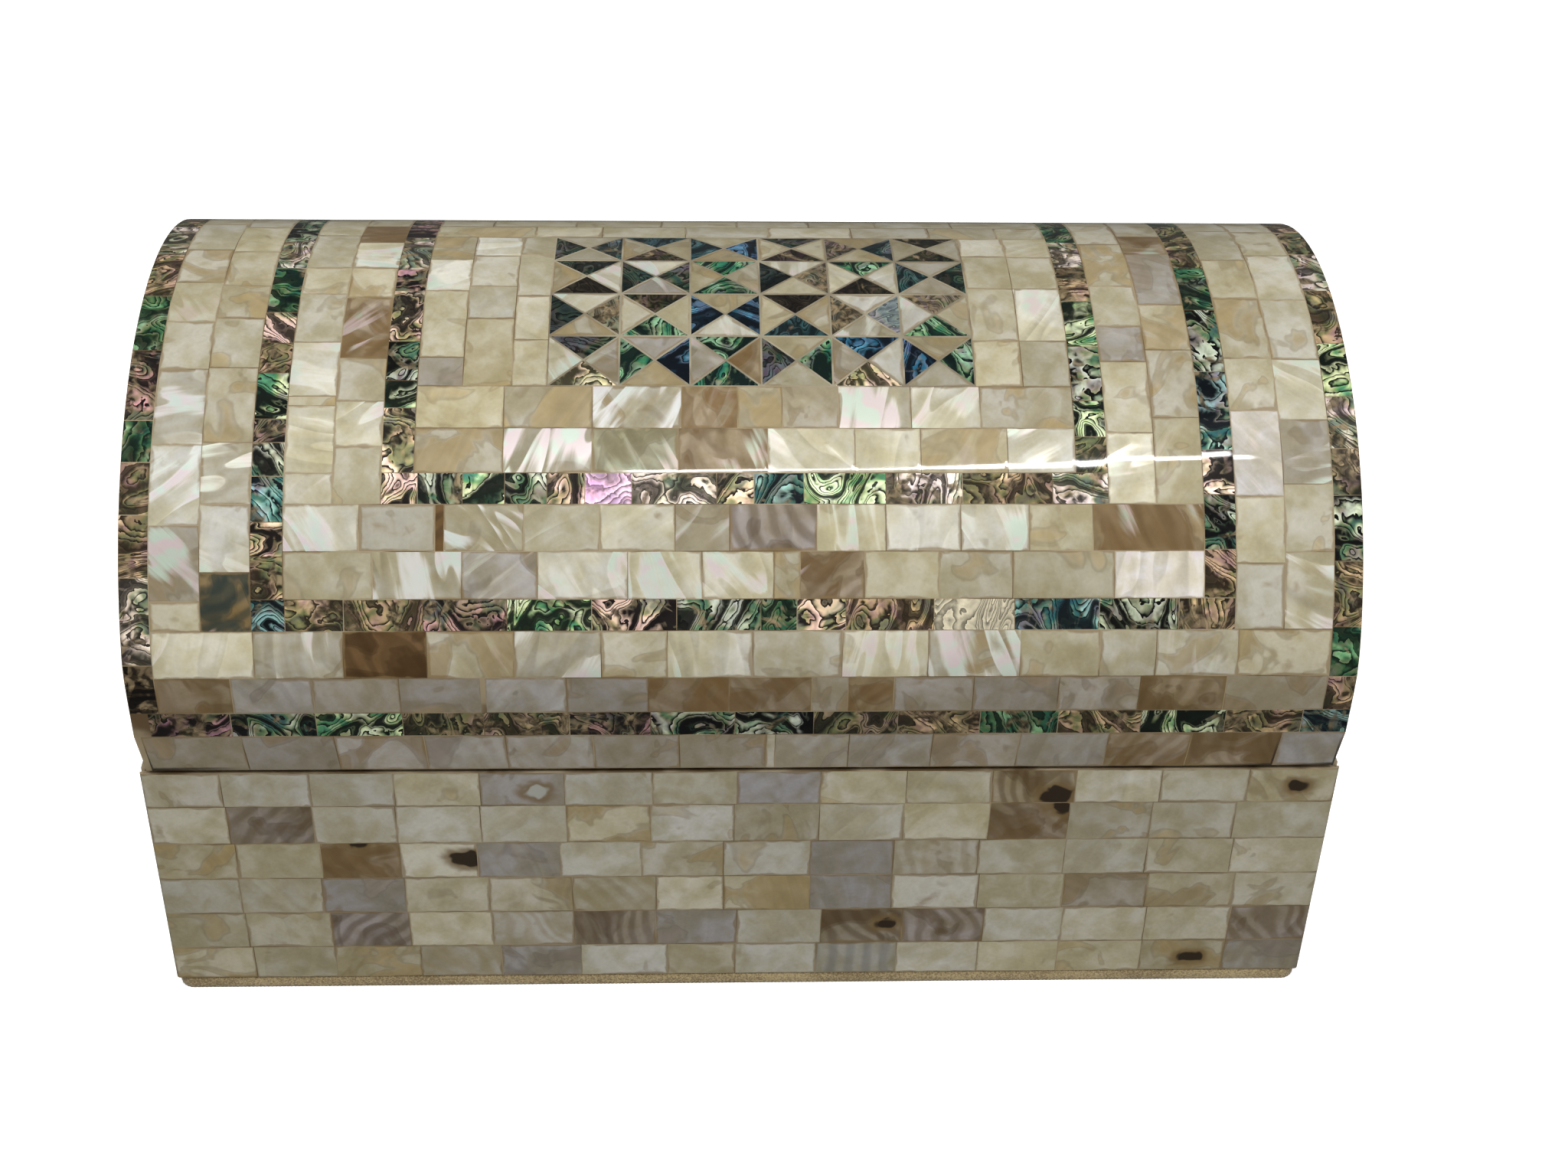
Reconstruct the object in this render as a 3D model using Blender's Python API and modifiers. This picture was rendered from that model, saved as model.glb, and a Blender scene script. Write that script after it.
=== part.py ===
"""A mother of pearl jewelry box: a hollow base, and a barrel lid that lifts off.

The wooden base and lid are clad in shell mosaic. Ivory shell fills the fields, and abalone makes
the strip, the nested frames and the ends of the lid. A panel of small triangles sits on the top.
Metres, +Z up, +X along the length. The origin is under the middle of the box.
"""
import math

import bmesh
import bpy
from mathutils import Vector

# Outside sizes
LENGTH = 0.280
DEPTH = 0.167
BASE_HEIGHT = 0.0658
LID_WALL_HEIGHT = 0.0229
SHOULDER_RADIUS = 0.0273
SHOULDER_TURN = math.radians(22)
LID_END_STEP = 0.0005

# The foot board under the base
FOOT_HEIGHT = 0.0035
FOOT_INSET = 0.0002
FOOT_CORNER = 0.0035
FOOT_EDGE = 0.0004

# Walls, and the gaps between pieces that touch
MOSAIC = 0.002
LID_WALL = 0.006
FLOOR = 0.006
LIP_THICKNESS = 0.003
LIP_HEIGHT = 0.004
LIP_CLEARANCE = 0.0006
SHADOW_LINE = 0.0012
REST_GAP = 0.0003
BED_GAP = 0.0004
SEAM = 0.0005

# Rows of the lid's mosaic, measured up its front and over the top
BOTTOM_ROW = 0.010
STRIP = 0.0067
LOWER_ROWS = 0.021
IVORY_ROW = 0.01065
CELL_LENGTH = 0.0163
CELL_HEIGHT = 0.01425
PANEL_COLUMNS = 6
PANEL_ROWS = 4
PANEL_SHIFT = 0.00365

# Columns of the lid's mosaic, measured in from its ends
EDGE_BAND = 0.0066
OUTER_COLUMN = 0.0112
MIDDLE_COLUMN = 0.0108
FRAME_BAND = 0.0072

# Rounded arrises and the worn lower corners of the lid
ARRIS = 0.001
WEAR = 0.0015
WEAR_HEIGHT = 0.009

# How finely the curves are cut
SHOULDER_FACETS = 4
BARREL_FACETS = 12
WEAR_FACETS = 4
ARRIS_FACETS = 3
CORNER_FACETS = 6
SHORTEST_FACET = 0.0005
CUT_THROUGH = 0.01

# Heights
SHELL_BOTTOM = FOOT_HEIGHT + REST_GAP
BASE_TOP = SHELL_BOTTOM + BASE_HEIGHT
RIM = BASE_TOP + (SHADOW_LINE - REST_GAP) / 2
LID_REST = RIM + REST_GAP
LID_BOTTOM = BASE_TOP + SHADOW_LINE

# The section of the lid: an upright wall, a shoulder and a barrel, the same at the back
BARREL_RADIUS = (DEPTH / 2 - SHOULDER_RADIUS * (1 - math.cos(SHOULDER_TURN))) / math.cos(SHOULDER_TURN)
BARREL_AXIS = LID_BOTTOM + LID_WALL_HEIGHT + (SHOULDER_RADIUS - BARREL_RADIUS) * math.sin(SHOULDER_TURN)
SHOULDER_RUN = SHOULDER_RADIUS * SHOULDER_TURN
BARREL_RUN = BARREL_RADIUS * (math.pi / 2 - SHOULDER_TURN)
LID_GIRTH = 2 * (LID_WALL_HEIGHT + SHOULDER_RUN + BARREL_RUN)
LID_HALF = LENGTH / 2 - LID_END_STEP
CLADDING = MOSAIC + BED_GAP

# Where one field of the lid ends and the next begins, up the front
STRIP_START = BOTTOM_ROW
FIELD_START = STRIP_START + STRIP
FRAME_START = FIELD_START + LOWER_ROWS
MIDDLE_START = FRAME_START + FRAME_BAND
INNER_FRAME_START = MIDDLE_START + 2 * IVORY_ROW
INNER_START = INNER_FRAME_START + FRAME_BAND
PANEL_START = INNER_START + 2 * IVORY_ROW
PANEL_END = PANEL_START + PANEL_ROWS * CELL_HEIGHT

# The same along the length, out from the middle
FIELD_HALF = LID_HALF - EDGE_BAND
FRAME_HALF = FIELD_HALF - 2 * OUTER_COLUMN
MIDDLE_HALF = FRAME_HALF - FRAME_BAND
INNER_FRAME_HALF = MIDDLE_HALF - 2 * MIDDLE_COLUMN
INNER_HALF = INNER_FRAME_HALF - FRAME_BAND
PANEL_HALF = PANEL_COLUMNS * CELL_LENGTH / 2

FINISHES = {
    "ivory_shell": ((0.66, 0.61, 0.48), 0.15, 0.0),
    "abalone_shell": ((0.10, 0.17, 0.14), 0.12, 0.0),
    "panel_shell": ((0.36, 0.38, 0.36), 0.12, 0.0),
    "stained_wood": ((0.10, 0.055, 0.03), 0.6, 0.0),
    "gold_cloth": ((0.50, 0.40, 0.22), 0.85, 0.0),
}


def clear_scene():
    for old in list(bpy.data.objects):
        bpy.data.objects.remove(old, do_unlink=True)


def make_collection(name):
    collection = bpy.data.collections.new(name)
    bpy.context.scene.collection.children.link(collection)
    return collection


def make_material(name):
    colour, roughness, metallic = FINISHES[name]
    material = bpy.data.materials.new(name)
    material.use_nodes = True
    shader = material.node_tree.nodes["Principled BSDF"]
    shader.inputs["Base Color"].default_value = (*colour, 1.0)
    shader.inputs["Roughness"].default_value = roughness
    shader.inputs["Metallic"].default_value = metallic
    material.diffuse_color = (*colour, 1.0)
    return material


clear_scene()
PARTS = make_collection("mother_of_pearl_box")
CUTTERS = make_collection("cutters")
MATERIALS = {name: make_material(name) for name in FINISHES}


def make_empty(name):
    empty = bpy.data.objects.new(name, None)
    PARTS.objects.link(empty)
    return empty


BASE = make_empty("base")
LID = make_empty("lid")


def finish_mesh(bm, name):
    """Turns a bmesh into a mesh, smooth on its curves and sharp at its edges."""
    mesh = bpy.data.meshes.new(name)
    bm.to_mesh(mesh)
    bm.free()
    mesh.shade_smooth()
    mesh.set_sharp_from_angle(angle=math.radians(25))
    return mesh


def add_piece(name, mesh, finish, parent, turned=False):
    """Puts a mesh in the model. A turned copy serves the back, or the other end."""
    piece = bpy.data.objects.new(name, mesh)
    PARTS.objects.link(piece)
    piece.parent = parent
    if turned:
        piece.rotation_euler.z = math.pi
    if not mesh.materials:
        mesh.materials.append(MATERIALS[finish])
    return piece


def block(size, centre):
    """A cuboid bmesh of a given size about a centre."""
    bm = bmesh.new()
    bmesh.ops.create_cube(bm, size=1.0)
    bmesh.ops.scale(bm, vec=size, verts=bm.verts)
    bmesh.ops.translate(bm, vec=centre, verts=bm.verts)
    return bm


def round_edges(bm, wanted, width, segments):
    """Bevels the edges that a test picks out."""
    edges = [edge for edge in bm.edges if wanted(edge)]
    bmesh.ops.bevel(
        bm, geom=edges, affect="EDGES", offset=width, offset_type="OFFSET",
        segments=segments, profile=0.5, material=-1)


def is_upright(edge):
    first, second = edge.verts
    return (first.co - second.co).xy.length < 1e-6


def top_face(bm):
    """The largest of the highest faces."""
    return max(bm.faces, key=lambda face: (round(face.calc_center_median().z, 6), face.calc_area()))


def inset_top(bm, width):
    bmesh.ops.inset_region(bm, faces=[top_face(bm)], thickness=width, use_even_offset=True)


def move_top(bm, rise):
    """Extrudes the highest face up, or down into the body."""
    face = top_face(bm)
    grown = bmesh.ops.extrude_face_region(bm, geom=[face])
    bmesh.ops.delete(bm, geom=[face], context="FACES")
    moved = [item for item in grown["geom"] if isinstance(item, bmesh.types.BMVert)]
    bmesh.ops.translate(bm, vec=(0, 0, rise), verts=moved)


def make_foot_board():
    size = (LENGTH - 2 * FOOT_INSET, DEPTH - 2 * FOOT_INSET, FOOT_HEIGHT)
    bm = block(size, (0, 0, FOOT_HEIGHT / 2))
    round_edges(bm, is_upright, FOOT_CORNER, CORNER_FACETS)
    round_edges(bm, lambda edge: max(v.co.z for v in edge.verts) < FOOT_HEIGHT / 2, FOOT_EDGE, 2)
    add_piece("foot_board", finish_mesh(bm, "foot_board"), "gold_cloth", BASE)


def make_base_carcass():
    """The wooden box: its rim carries the lid, and a lip inside the rim keeps the lid in place."""
    height = RIM - SHELL_BOTTOM
    size = (LENGTH - 2 * CLADDING, DEPTH - 2 * CLADDING, height)
    bm = block(size, (0, 0, SHELL_BOTTOM + height / 2))
    inset_top(bm, LID_END_STEP + LID_WALL + LIP_CLEARANCE)
    move_top(bm, LIP_HEIGHT)
    inset_top(bm, LIP_THICKNESS)
    move_top(bm, FLOOR - height - LIP_HEIGHT)
    add_piece("base_carcass", finish_mesh(bm, "base_carcass"), "stained_wood", BASE)


def make_base_mosaic():
    """Four plates of mosaic. The front and back run the whole length and hide the ends' edges."""
    middle = SHELL_BOTTOM + BASE_HEIGHT / 2
    front_y = -(DEPTH - MOSAIC) / 2
    front = block((LENGTH, MOSAIC, BASE_HEIGHT), (0, front_y, middle))
    round_edges(
        front,
        lambda edge: is_upright(edge) and edge.verts[0].co.y < front_y,
        ARRIS, ARRIS_FACETS)
    long_mesh = finish_mesh(front, "base_mosaic_long")
    add_piece("base_mosaic_front", long_mesh, "ivory_shell", BASE)
    add_piece("base_mosaic_back", long_mesh, "ivory_shell", BASE, turned=True)
    width = DEPTH - 2 * (MOSAIC + SEAM)
    end = block((MOSAIC, width, BASE_HEIGHT), ((LENGTH - MOSAIC) / 2, 0, middle))
    short_mesh = finish_mesh(end, "base_mosaic_short")
    add_piece("base_mosaic_right", short_mesh, "ivory_shell", BASE)
    add_piece("base_mosaic_left", short_mesh, "ivory_shell", BASE, turned=True)


def section(run, inset=0.0):
    """Y and Z on the lid's section, at a run up its front and over, and an inset into it."""
    side = -1 if run <= LID_GIRTH / 2 else 1
    run = min(run, LID_GIRTH - run)
    if run <= LID_WALL_HEIGHT:
        return side * (DEPTH / 2 - inset), LID_BOTTOM + run
    run -= LID_WALL_HEIGHT
    if run <= SHOULDER_RUN:
        turn = run / SHOULDER_RADIUS
        reach = SHOULDER_RADIUS - inset
        y = DEPTH / 2 - SHOULDER_RADIUS + reach * math.cos(turn)
        return side * y, LID_BOTTOM + LID_WALL_HEIGHT + reach * math.sin(turn)
    turn = SHOULDER_TURN + (run - SHOULDER_RUN) / BARREL_RADIUS
    reach = BARREL_RADIUS - inset
    return side * reach * math.cos(turn), BARREL_AXIS + reach * math.sin(turn)


def bends():
    """The runs at which the lid's section is bent, from front to back."""
    shoulder = [LID_WALL_HEIGHT + SHOULDER_RUN * k / SHOULDER_FACETS for k in range(SHOULDER_FACETS)]
    barrel = [
        LID_WALL_HEIGHT + SHOULDER_RUN + BARREL_RUN * k / BARREL_FACETS
        for k in range(BARREL_FACETS)]
    front = shoulder + barrel
    return front + [LID_GIRTH / 2] + [LID_GIRTH - run for run in reversed(front)]


def stations(start, end):
    """The runs of a piece's bends, with its own start and end."""
    inside = [run for run in bends() if start + SHORTEST_FACET < run < end - SHORTEST_FACET]
    return [start, *inside, end]


def wear_at(height):
    """How far the lid's end has worn in, at a height over its lower edge."""
    if height >= WEAR_HEIGHT:
        return 0.0
    share = 1 - max(height, 0.0) / WEAR_HEIGHT
    return WEAR * (1 - math.sqrt(1 - share ** 2))


def wear_heights():
    """Heights that follow the worn corner, closer together towards the bottom."""
    return [WEAR_HEIGHT * (1 - math.sin(math.pi / 2 * k / WEAR_FACETS)) for k in range(WEAR_FACETS)]


def face_plate(xs, runs, worn=False):
    """An open plate on the lid's face. Four cuts each way leave out its middle field."""
    rows = []
    for start, end in zip(runs, runs[1:]):
        rows += stations(start, end)
    if worn:
        rows += [height for height in wear_heights() if height > rows[0]]
    rows = sorted(set(rows))
    bm = bmesh.new()
    line = [bm.verts.new((xs[0], *section(run))) for run in rows]
    edges = [bm.edges.new(pair) for pair in zip(line, line[1:])]
    for start, end in zip(xs, xs[1:]):
        grown = bmesh.ops.extrude_edge_only(bm, edges=edges)["geom"]
        edges = [item for item in grown if isinstance(item, bmesh.types.BMEdge)]
        moved = [item for item in grown if isinstance(item, bmesh.types.BMVert)]
        bmesh.ops.translate(bm, vec=(end - start, 0, 0), verts=moved)
    bmesh.ops.recalc_face_normals(bm, faces=bm.faces)
    bm.faces.ensure_lookup_table()
    first = bm.faces[0]
    if first.normal.dot(first.calc_center_median() - Vector((0, 0, BARREL_AXIS))) < 0:
        bmesh.ops.reverse_faces(bm, faces=bm.faces)
    if len(xs) == 4:
        corners = [section(run) for run in rows]
        low = rows.index(runs[1])
        high = rows.index(runs[2])
        hole = {tuple(corners[k]) for k in range(low, high + 1)}
        clear_window(bm, xs, hole)
    return bm


def clear_window(bm, xs, hole):
    """Takes the faces out of a plate that lie in its middle field."""
    def in_hole(vert):
        return any(math.hypot(vert.co.y - y, vert.co.z - z) < 1e-6 for y, z in hole)
    gone = [
        face for face in bm.faces
        if xs[1] < face.calc_center_median().x < xs[2] and all(in_hole(v) for v in face.verts)]
    bmesh.ops.delete(bm, geom=gone, context="FACES")


def add_plate(name, mesh, finish, turned=False):
    """A piece of the lid's mosaic: its face, thickened inwards."""
    piece = add_piece(name, mesh, finish, LID, turned)
    wall = piece.modifiers.new("Thickness", "SOLIDIFY")
    wall.thickness = MOSAIC
    wall.offset = -1
    wall.use_even_offset = True
    return piece


def trimmed(low, high):
    """A piece's two limits, drawn in by half a seam each."""
    return [low + SEAM / 2, high - SEAM / 2]


def ring(name, finish, half, start, hole_x, hole_runs):
    """A field that goes over the lid, with a window in its middle."""
    xs = trimmed(-half, half)
    runs = trimmed(start, LID_GIRTH - start)
    xs[1:1] = [hole_x[0] - SEAM / 2, hole_x[1] + SEAM / 2]
    runs[1:1] = [hole_runs[0] - SEAM / 2, hole_runs[1] + SEAM / 2]
    add_plate(name, finish_mesh(face_plate(xs, runs), name), finish)


def both(half):
    return (-half, half)


def over(start):
    return (start, LID_GIRTH - start)


def make_lid_face():
    """The mosaic on the lid's curved face, from its lower rows to the panel on top."""
    ring("lid_ivory_field_outer", "ivory_shell", FIELD_HALF, FIELD_START,
         both(FRAME_HALF), over(FRAME_START))
    ring("lid_abalone_frame_outer", "abalone_shell", FRAME_HALF, FRAME_START,
         both(MIDDLE_HALF), over(MIDDLE_START))
    ring("lid_ivory_field_middle", "ivory_shell", MIDDLE_HALF, MIDDLE_START,
         both(INNER_FRAME_HALF), over(INNER_FRAME_START))
    ring("lid_abalone_frame_inner", "abalone_shell", INNER_FRAME_HALF, INNER_FRAME_START,
         both(INNER_HALF), over(INNER_START))
    ring("lid_ivory_field_inner", "ivory_shell", INNER_HALF, INNER_START,
         (PANEL_SHIFT - PANEL_HALF, PANEL_SHIFT + PANEL_HALF), (PANEL_START, PANEL_END))


def make_star_panel():
    xs = trimmed(PANEL_SHIFT - PANEL_HALF, PANEL_SHIFT + PANEL_HALF)
    bm = face_plate(xs, trimmed(PANEL_START, PANEL_END))
    add_plate("lid_star_panel", finish_mesh(bm, "lid_star_panel"), "panel_shell")


def make_edge_bands():
    xs = [FIELD_HALF + SEAM / 2, LID_HALF]
    mesh = finish_mesh(face_plate(xs, trimmed(*over(FIELD_START))), "lid_abalone_edge")
    add_plate("lid_abalone_edge_right", mesh, "abalone_shell")
    add_plate("lid_abalone_edge_left", mesh, "abalone_shell", turned=True)


def make_lower_rows():
    """The abalone strip and the ivory row under it, at the front and again at the back."""
    strip = face_plate(both(LID_HALF), trimmed(STRIP_START, FIELD_START))
    mesh = finish_mesh(strip, "lid_abalone_strip")
    add_plate("lid_abalone_strip_front", mesh, "abalone_shell")
    add_plate("lid_abalone_strip_back", mesh, "abalone_shell", turned=True)
    row = face_plate(both(LID_HALF), [0.0, STRIP_START - SEAM / 2], worn=True)
    for vert in row.verts:
        vert.co.x -= math.copysign(wear_at(vert.co.z - LID_BOTTOM), vert.co.x)
    mesh = finish_mesh(row, "lid_bottom_row")
    add_plate("lid_bottom_row_front", mesh, "ivory_shell")
    add_plate("lid_bottom_row_back", mesh, "ivory_shell", turned=True)


def end_outline(inset, bottom):
    """The closed outline of a slice through the lid, from its front foot to its back foot."""
    y, _ = section(0.0, inset)
    arch = [section(run, inset) for run in bends()]
    return [(y, bottom), *arch, (-y, bottom)]


def slab(outline, start, end):
    """An outline in Y and Z, drawn out along X between two places."""
    bm = bmesh.new()
    face = bm.faces.new([bm.verts.new((start, y, z)) for y, z in outline])
    grown = bmesh.ops.extrude_face_region(bm, geom=[face])
    moved = [item for item in grown["geom"] if isinstance(item, bmesh.types.BMVert)]
    bmesh.ops.translate(bm, vec=(end - start, 0, 0), verts=moved)
    bmesh.ops.recalc_face_normals(bm, faces=bm.faces)
    return bm


def make_lid_ends():
    """Plates of mosaic on the lid's ends, inside the edge of its curved face."""
    outline = end_outline(MOSAIC + SEAM, LID_BOTTOM)
    bm = slab(outline, LID_HALF - MOSAIC, LID_HALF)
    for height in wear_heights():
        if height > 0:
            bmesh.ops.bisect_plane(
                bm, geom=bm.verts[:] + bm.edges[:] + bm.faces[:],
                plane_co=(0, 0, LID_BOTTOM + height), plane_no=(0, 0, 1))
    for vert in bm.verts:
        if vert.co.x > LID_HALF - MOSAIC / 2:
            vert.co.x -= wear_at(vert.co.z - LID_BOTTOM)
    mesh = finish_mesh(bm, "lid_end_mosaic")
    add_piece("lid_end_mosaic_right", mesh, "ivory_shell", LID)
    add_piece("lid_end_mosaic_left", mesh, "ivory_shell", LID, turned=True)


def make_lid_carcass():
    """The wooden barrel under the mosaic, hollow and open below."""
    half = LID_HALF - CLADDING
    bm = slab(end_outline(CLADDING, LID_REST), -half, half)
    carcass = add_piece("lid_carcass", finish_mesh(bm, "lid_carcass"), "stained_wood", LID)
    inside = half - LID_WALL
    cavity = slab(end_outline(CLADDING + LID_WALL, LID_REST - CUT_THROUGH), -inside, inside)
    cutter = bpy.data.objects.new("lid_cavity", finish_mesh(cavity, "lid_cavity"))
    CUTTERS.objects.link(cutter)
    cutter.hide_render = True
    cutter.display_type = "WIRE"
    hollow = carcass.modifiers.new("Hollow", "BOOLEAN")
    hollow.operation = "DIFFERENCE"
    hollow.solver = "EXACT"
    hollow.object = cutter


make_foot_board()
make_base_carcass()
make_base_mosaic()
make_lower_rows()
make_edge_bands()
make_lid_face()
make_star_panel()
make_lid_ends()
make_lid_carcass()
bpy.context.view_layer.update()
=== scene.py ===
# %% [markdown]
# # A mother of pearl jewelry box
# The real box is a wooden carcass clad in thin tiles of shell. Ivory mother of pearl fills the
# fields, dark abalone makes the bands, and a panel of small triangles sits on the barrel lid.
# The CAD model gives the true shape, so this script only dresses it: tiles, resin, cloth and wood.

# %% Load the CAD model
import math
import random

import bmesh
import bpy
from mathutils import Matrix, Vector


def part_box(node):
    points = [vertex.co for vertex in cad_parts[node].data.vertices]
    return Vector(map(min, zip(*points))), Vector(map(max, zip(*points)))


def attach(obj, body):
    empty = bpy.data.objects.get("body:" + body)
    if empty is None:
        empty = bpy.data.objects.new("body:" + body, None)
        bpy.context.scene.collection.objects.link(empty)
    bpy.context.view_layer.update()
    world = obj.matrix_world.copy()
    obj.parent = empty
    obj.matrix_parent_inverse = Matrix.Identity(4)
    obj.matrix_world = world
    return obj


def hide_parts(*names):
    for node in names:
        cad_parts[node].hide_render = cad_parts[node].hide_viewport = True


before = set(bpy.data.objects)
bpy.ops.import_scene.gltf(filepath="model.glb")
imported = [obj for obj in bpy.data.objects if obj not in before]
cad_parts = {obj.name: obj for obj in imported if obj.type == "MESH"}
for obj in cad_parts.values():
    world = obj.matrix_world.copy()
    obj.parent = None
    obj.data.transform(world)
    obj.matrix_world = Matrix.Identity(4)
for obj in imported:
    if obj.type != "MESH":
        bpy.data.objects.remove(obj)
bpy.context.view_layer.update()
scene = bpy.context.scene
scene.view_settings.view_transform = "Standard"

# %% [markdown]
# ## Sizes
# Tiles have to lie exactly on the lid and the base, so the sizes that the tiling needs are read off
# the CAD nodes where a node's box gives them. The lid's section is an upright wall, a shoulder of
# one radius and a barrel of another. A run is a distance up the front and over the top.

# %% Sizes and the lid's section
MM = 0.001
MOSAIC = 2.0 * MM
SEAM = 0.5 * MM
SHOULDER_RADIUS = 27.3 * MM
SHOULDER_TURN = math.radians(22)
LID_WALL = 22.9 * MM

HALF_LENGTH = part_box("base_mosaic_front")[1].x
HALF_DEPTH = -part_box("base_mosaic_front")[0].y
SHELL_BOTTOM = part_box("base_mosaic_front")[0].z
BASE_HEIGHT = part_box("base_mosaic_front")[1].z - SHELL_BOTTOM
LID_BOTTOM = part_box("lid_bottom_row_front")[0].z
LID_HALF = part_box("lid_abalone_strip_front")[1].x

TURN_COS = math.cos(SHOULDER_TURN)
BARREL_RADIUS = (HALF_DEPTH - SHOULDER_RADIUS * (1 - TURN_COS)) / TURN_COS
BARREL_AXIS = LID_BOTTOM + LID_WALL + (SHOULDER_RADIUS - BARREL_RADIUS) * math.sin(SHOULDER_TURN)
SHOULDER_RUN = SHOULDER_RADIUS * SHOULDER_TURN
BARREL_RUN = BARREL_RADIUS * (math.pi / 2 - SHOULDER_TURN)
GIRTH = 2 * (LID_WALL + SHOULDER_RUN + BARREL_RUN)


def section(run, inset=0.0):
    """Y and Z on the lid's section, at a run up its front and over, and an inset into it."""
    side = -1 if run <= GIRTH / 2 else 1
    run = min(run, GIRTH - run)
    if run <= LID_WALL:
        return side * (HALF_DEPTH - inset), LID_BOTTOM + run
    run -= LID_WALL
    if run <= SHOULDER_RUN:
        turn = run / SHOULDER_RADIUS
        reach = SHOULDER_RADIUS - inset
        y = HALF_DEPTH - SHOULDER_RADIUS + reach * math.cos(turn)
        return side * y, LID_BOTTOM + LID_WALL + reach * math.sin(turn)
    turn = SHOULDER_TURN + (run - SHOULDER_RUN) / BARREL_RADIUS
    reach = BARREL_RADIUS - inset
    return side * reach * math.cos(turn), BARREL_AXIS + reach * math.sin(turn)


print("girth of the lid in mm:", round(GIRTH / MM, 1))

# %% [markdown]
# ## Camera, floor and light
# The photo looks down on the front from a little left of the middle. A long lens keeps the rows of
# tiles almost parallel. A camera starts out looking straight down. Three turns aim this one: a roll
# about its own line of sight, a tilt up from the floor, and a turn to the side.

# %% Camera
CAMERA_PLACE = Vector((-11.8, -492.8, 417.2)) * MM
VIEW_TURN = math.radians(-2.75)
VIEW_DOWN = math.radians(35.74)
VIEW_ROLL = math.radians(1.5)
PHOTO_WIDTH = 2048
FOCAL_PIXELS = 3000

lens = bpy.data.cameras.new("photo_camera")
lens.sensor_width = 36
lens.lens = FOCAL_PIXELS / PHOTO_WIDTH * lens.sensor_width
camera = bpy.data.objects.new("photo_camera", lens)
scene.collection.objects.link(camera)
tilt = Matrix.Rotation(math.pi / 2 - VIEW_DOWN, 4, "X")
turn = Matrix.Rotation(VIEW_TURN, 4, "Z")
roll = Matrix.Rotation(VIEW_ROLL, 4, "Z")
camera.matrix_world = Matrix.Translation(CAMERA_PLACE) @ turn @ tilt @ roll
scene.camera = camera
print("lens:", round(lens.lens, 1), "mm")

# %% [markdown]
# A wide soft lamp high over the front lights the box. A thin tube beside it does little but draw
# the white streak that runs along the lid, so the wide lamp is kept out of reflections. A weak even
# sky fills the shadows, and dim lamps behind and at the ends let those sides be seen. The floor is
# a plain pale sheet.

# %% Floor, sky and lamps
FLOOR_SIZE = 8.0
FLOOR_COLOUR = (0.93, 0.93, 0.93, 1)
FLOOR_GLOW = 0.45
SKY_COLOUR = (1, 0.99, 0.97, 1)
SKY_STRENGTH = 0.07
BOX_MIDDLE = (0, 0, 0.09)


def add_floor():
    bm = bmesh.new()
    bmesh.ops.create_grid(bm, x_segments=1, y_segments=1, size=FLOOR_SIZE / 2)
    mesh = bpy.data.meshes.new("floor")
    bm.to_mesh(mesh)
    bm.free()
    paper = bpy.data.materials.new("white_paper")
    paper.use_nodes = True
    look = {
        "Base Color": FLOOR_COLOUR, "Roughness": 0.9, "Emission Color": (1, 1, 1, 1),
        "Emission Strength": FLOOR_GLOW}
    for name, value in look.items():
        paper.node_tree.nodes["Principled BSDF"].inputs[name].default_value = value
    mesh.materials.append(paper)
    floor = bpy.data.objects.new("floor", mesh)
    floor.visible_diffuse = False
    floor.visible_glossy = False
    scene.collection.objects.link(floor)


def add_lamp(name, place, size, power, target=BOX_MIDDLE, mirrored=False):
    """An area lamp that faces a target. Only a mirrored one shows in reflections."""
    lamp = bpy.data.lights.new(name, "AREA")
    lamp.shape = "RECTANGLE"
    lamp.size, lamp.size_y = size
    lamp.energy = power
    holder = bpy.data.objects.new(name, lamp)
    holder.location = place
    holder.rotation_euler = (Vector(target) - Vector(place)).to_track_quat("-Z", "Y").to_euler()
    holder.visible_glossy = mirrored
    scene.collection.objects.link(holder)


add_floor()
sky = bpy.data.worlds.new("even_sky")
sky.use_nodes = True
backdrop = sky.node_tree.nodes["Background"].inputs
backdrop["Color"].default_value = SKY_COLOUR
backdrop["Strength"].default_value = SKY_STRENGTH
scene.world = sky
add_lamp("soft_box", (0.0, -0.65, 1.5), (1.4, 0.9), 26.5)
add_lamp("front_fill", (0.0, -1.5, 0.35), (1.6, 0.6), 7.5)
add_lamp("tube", (0.202, -0.66, 1.51), (0.56, 0.03), 2.2, target=(0.05, -0.05, 0.13), mirrored=True)
add_lamp("back_fill", (-0.4, 1.5, 0.9), (1.2, 0.8), 17)
for name, side in (("left_fill", -1), ("right_fill", 1)):
    add_lamp(name, (1.5 * side, 0.25, 0.16), (0.8, 0.5), 9)

# %% [markdown]
# ## Writing materials as sums
# A shell pattern is arithmetic on noise. This small class wraps an output socket, so that a sum in
# Python adds the Math nodes. Any other node comes from its one method, node.

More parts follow.
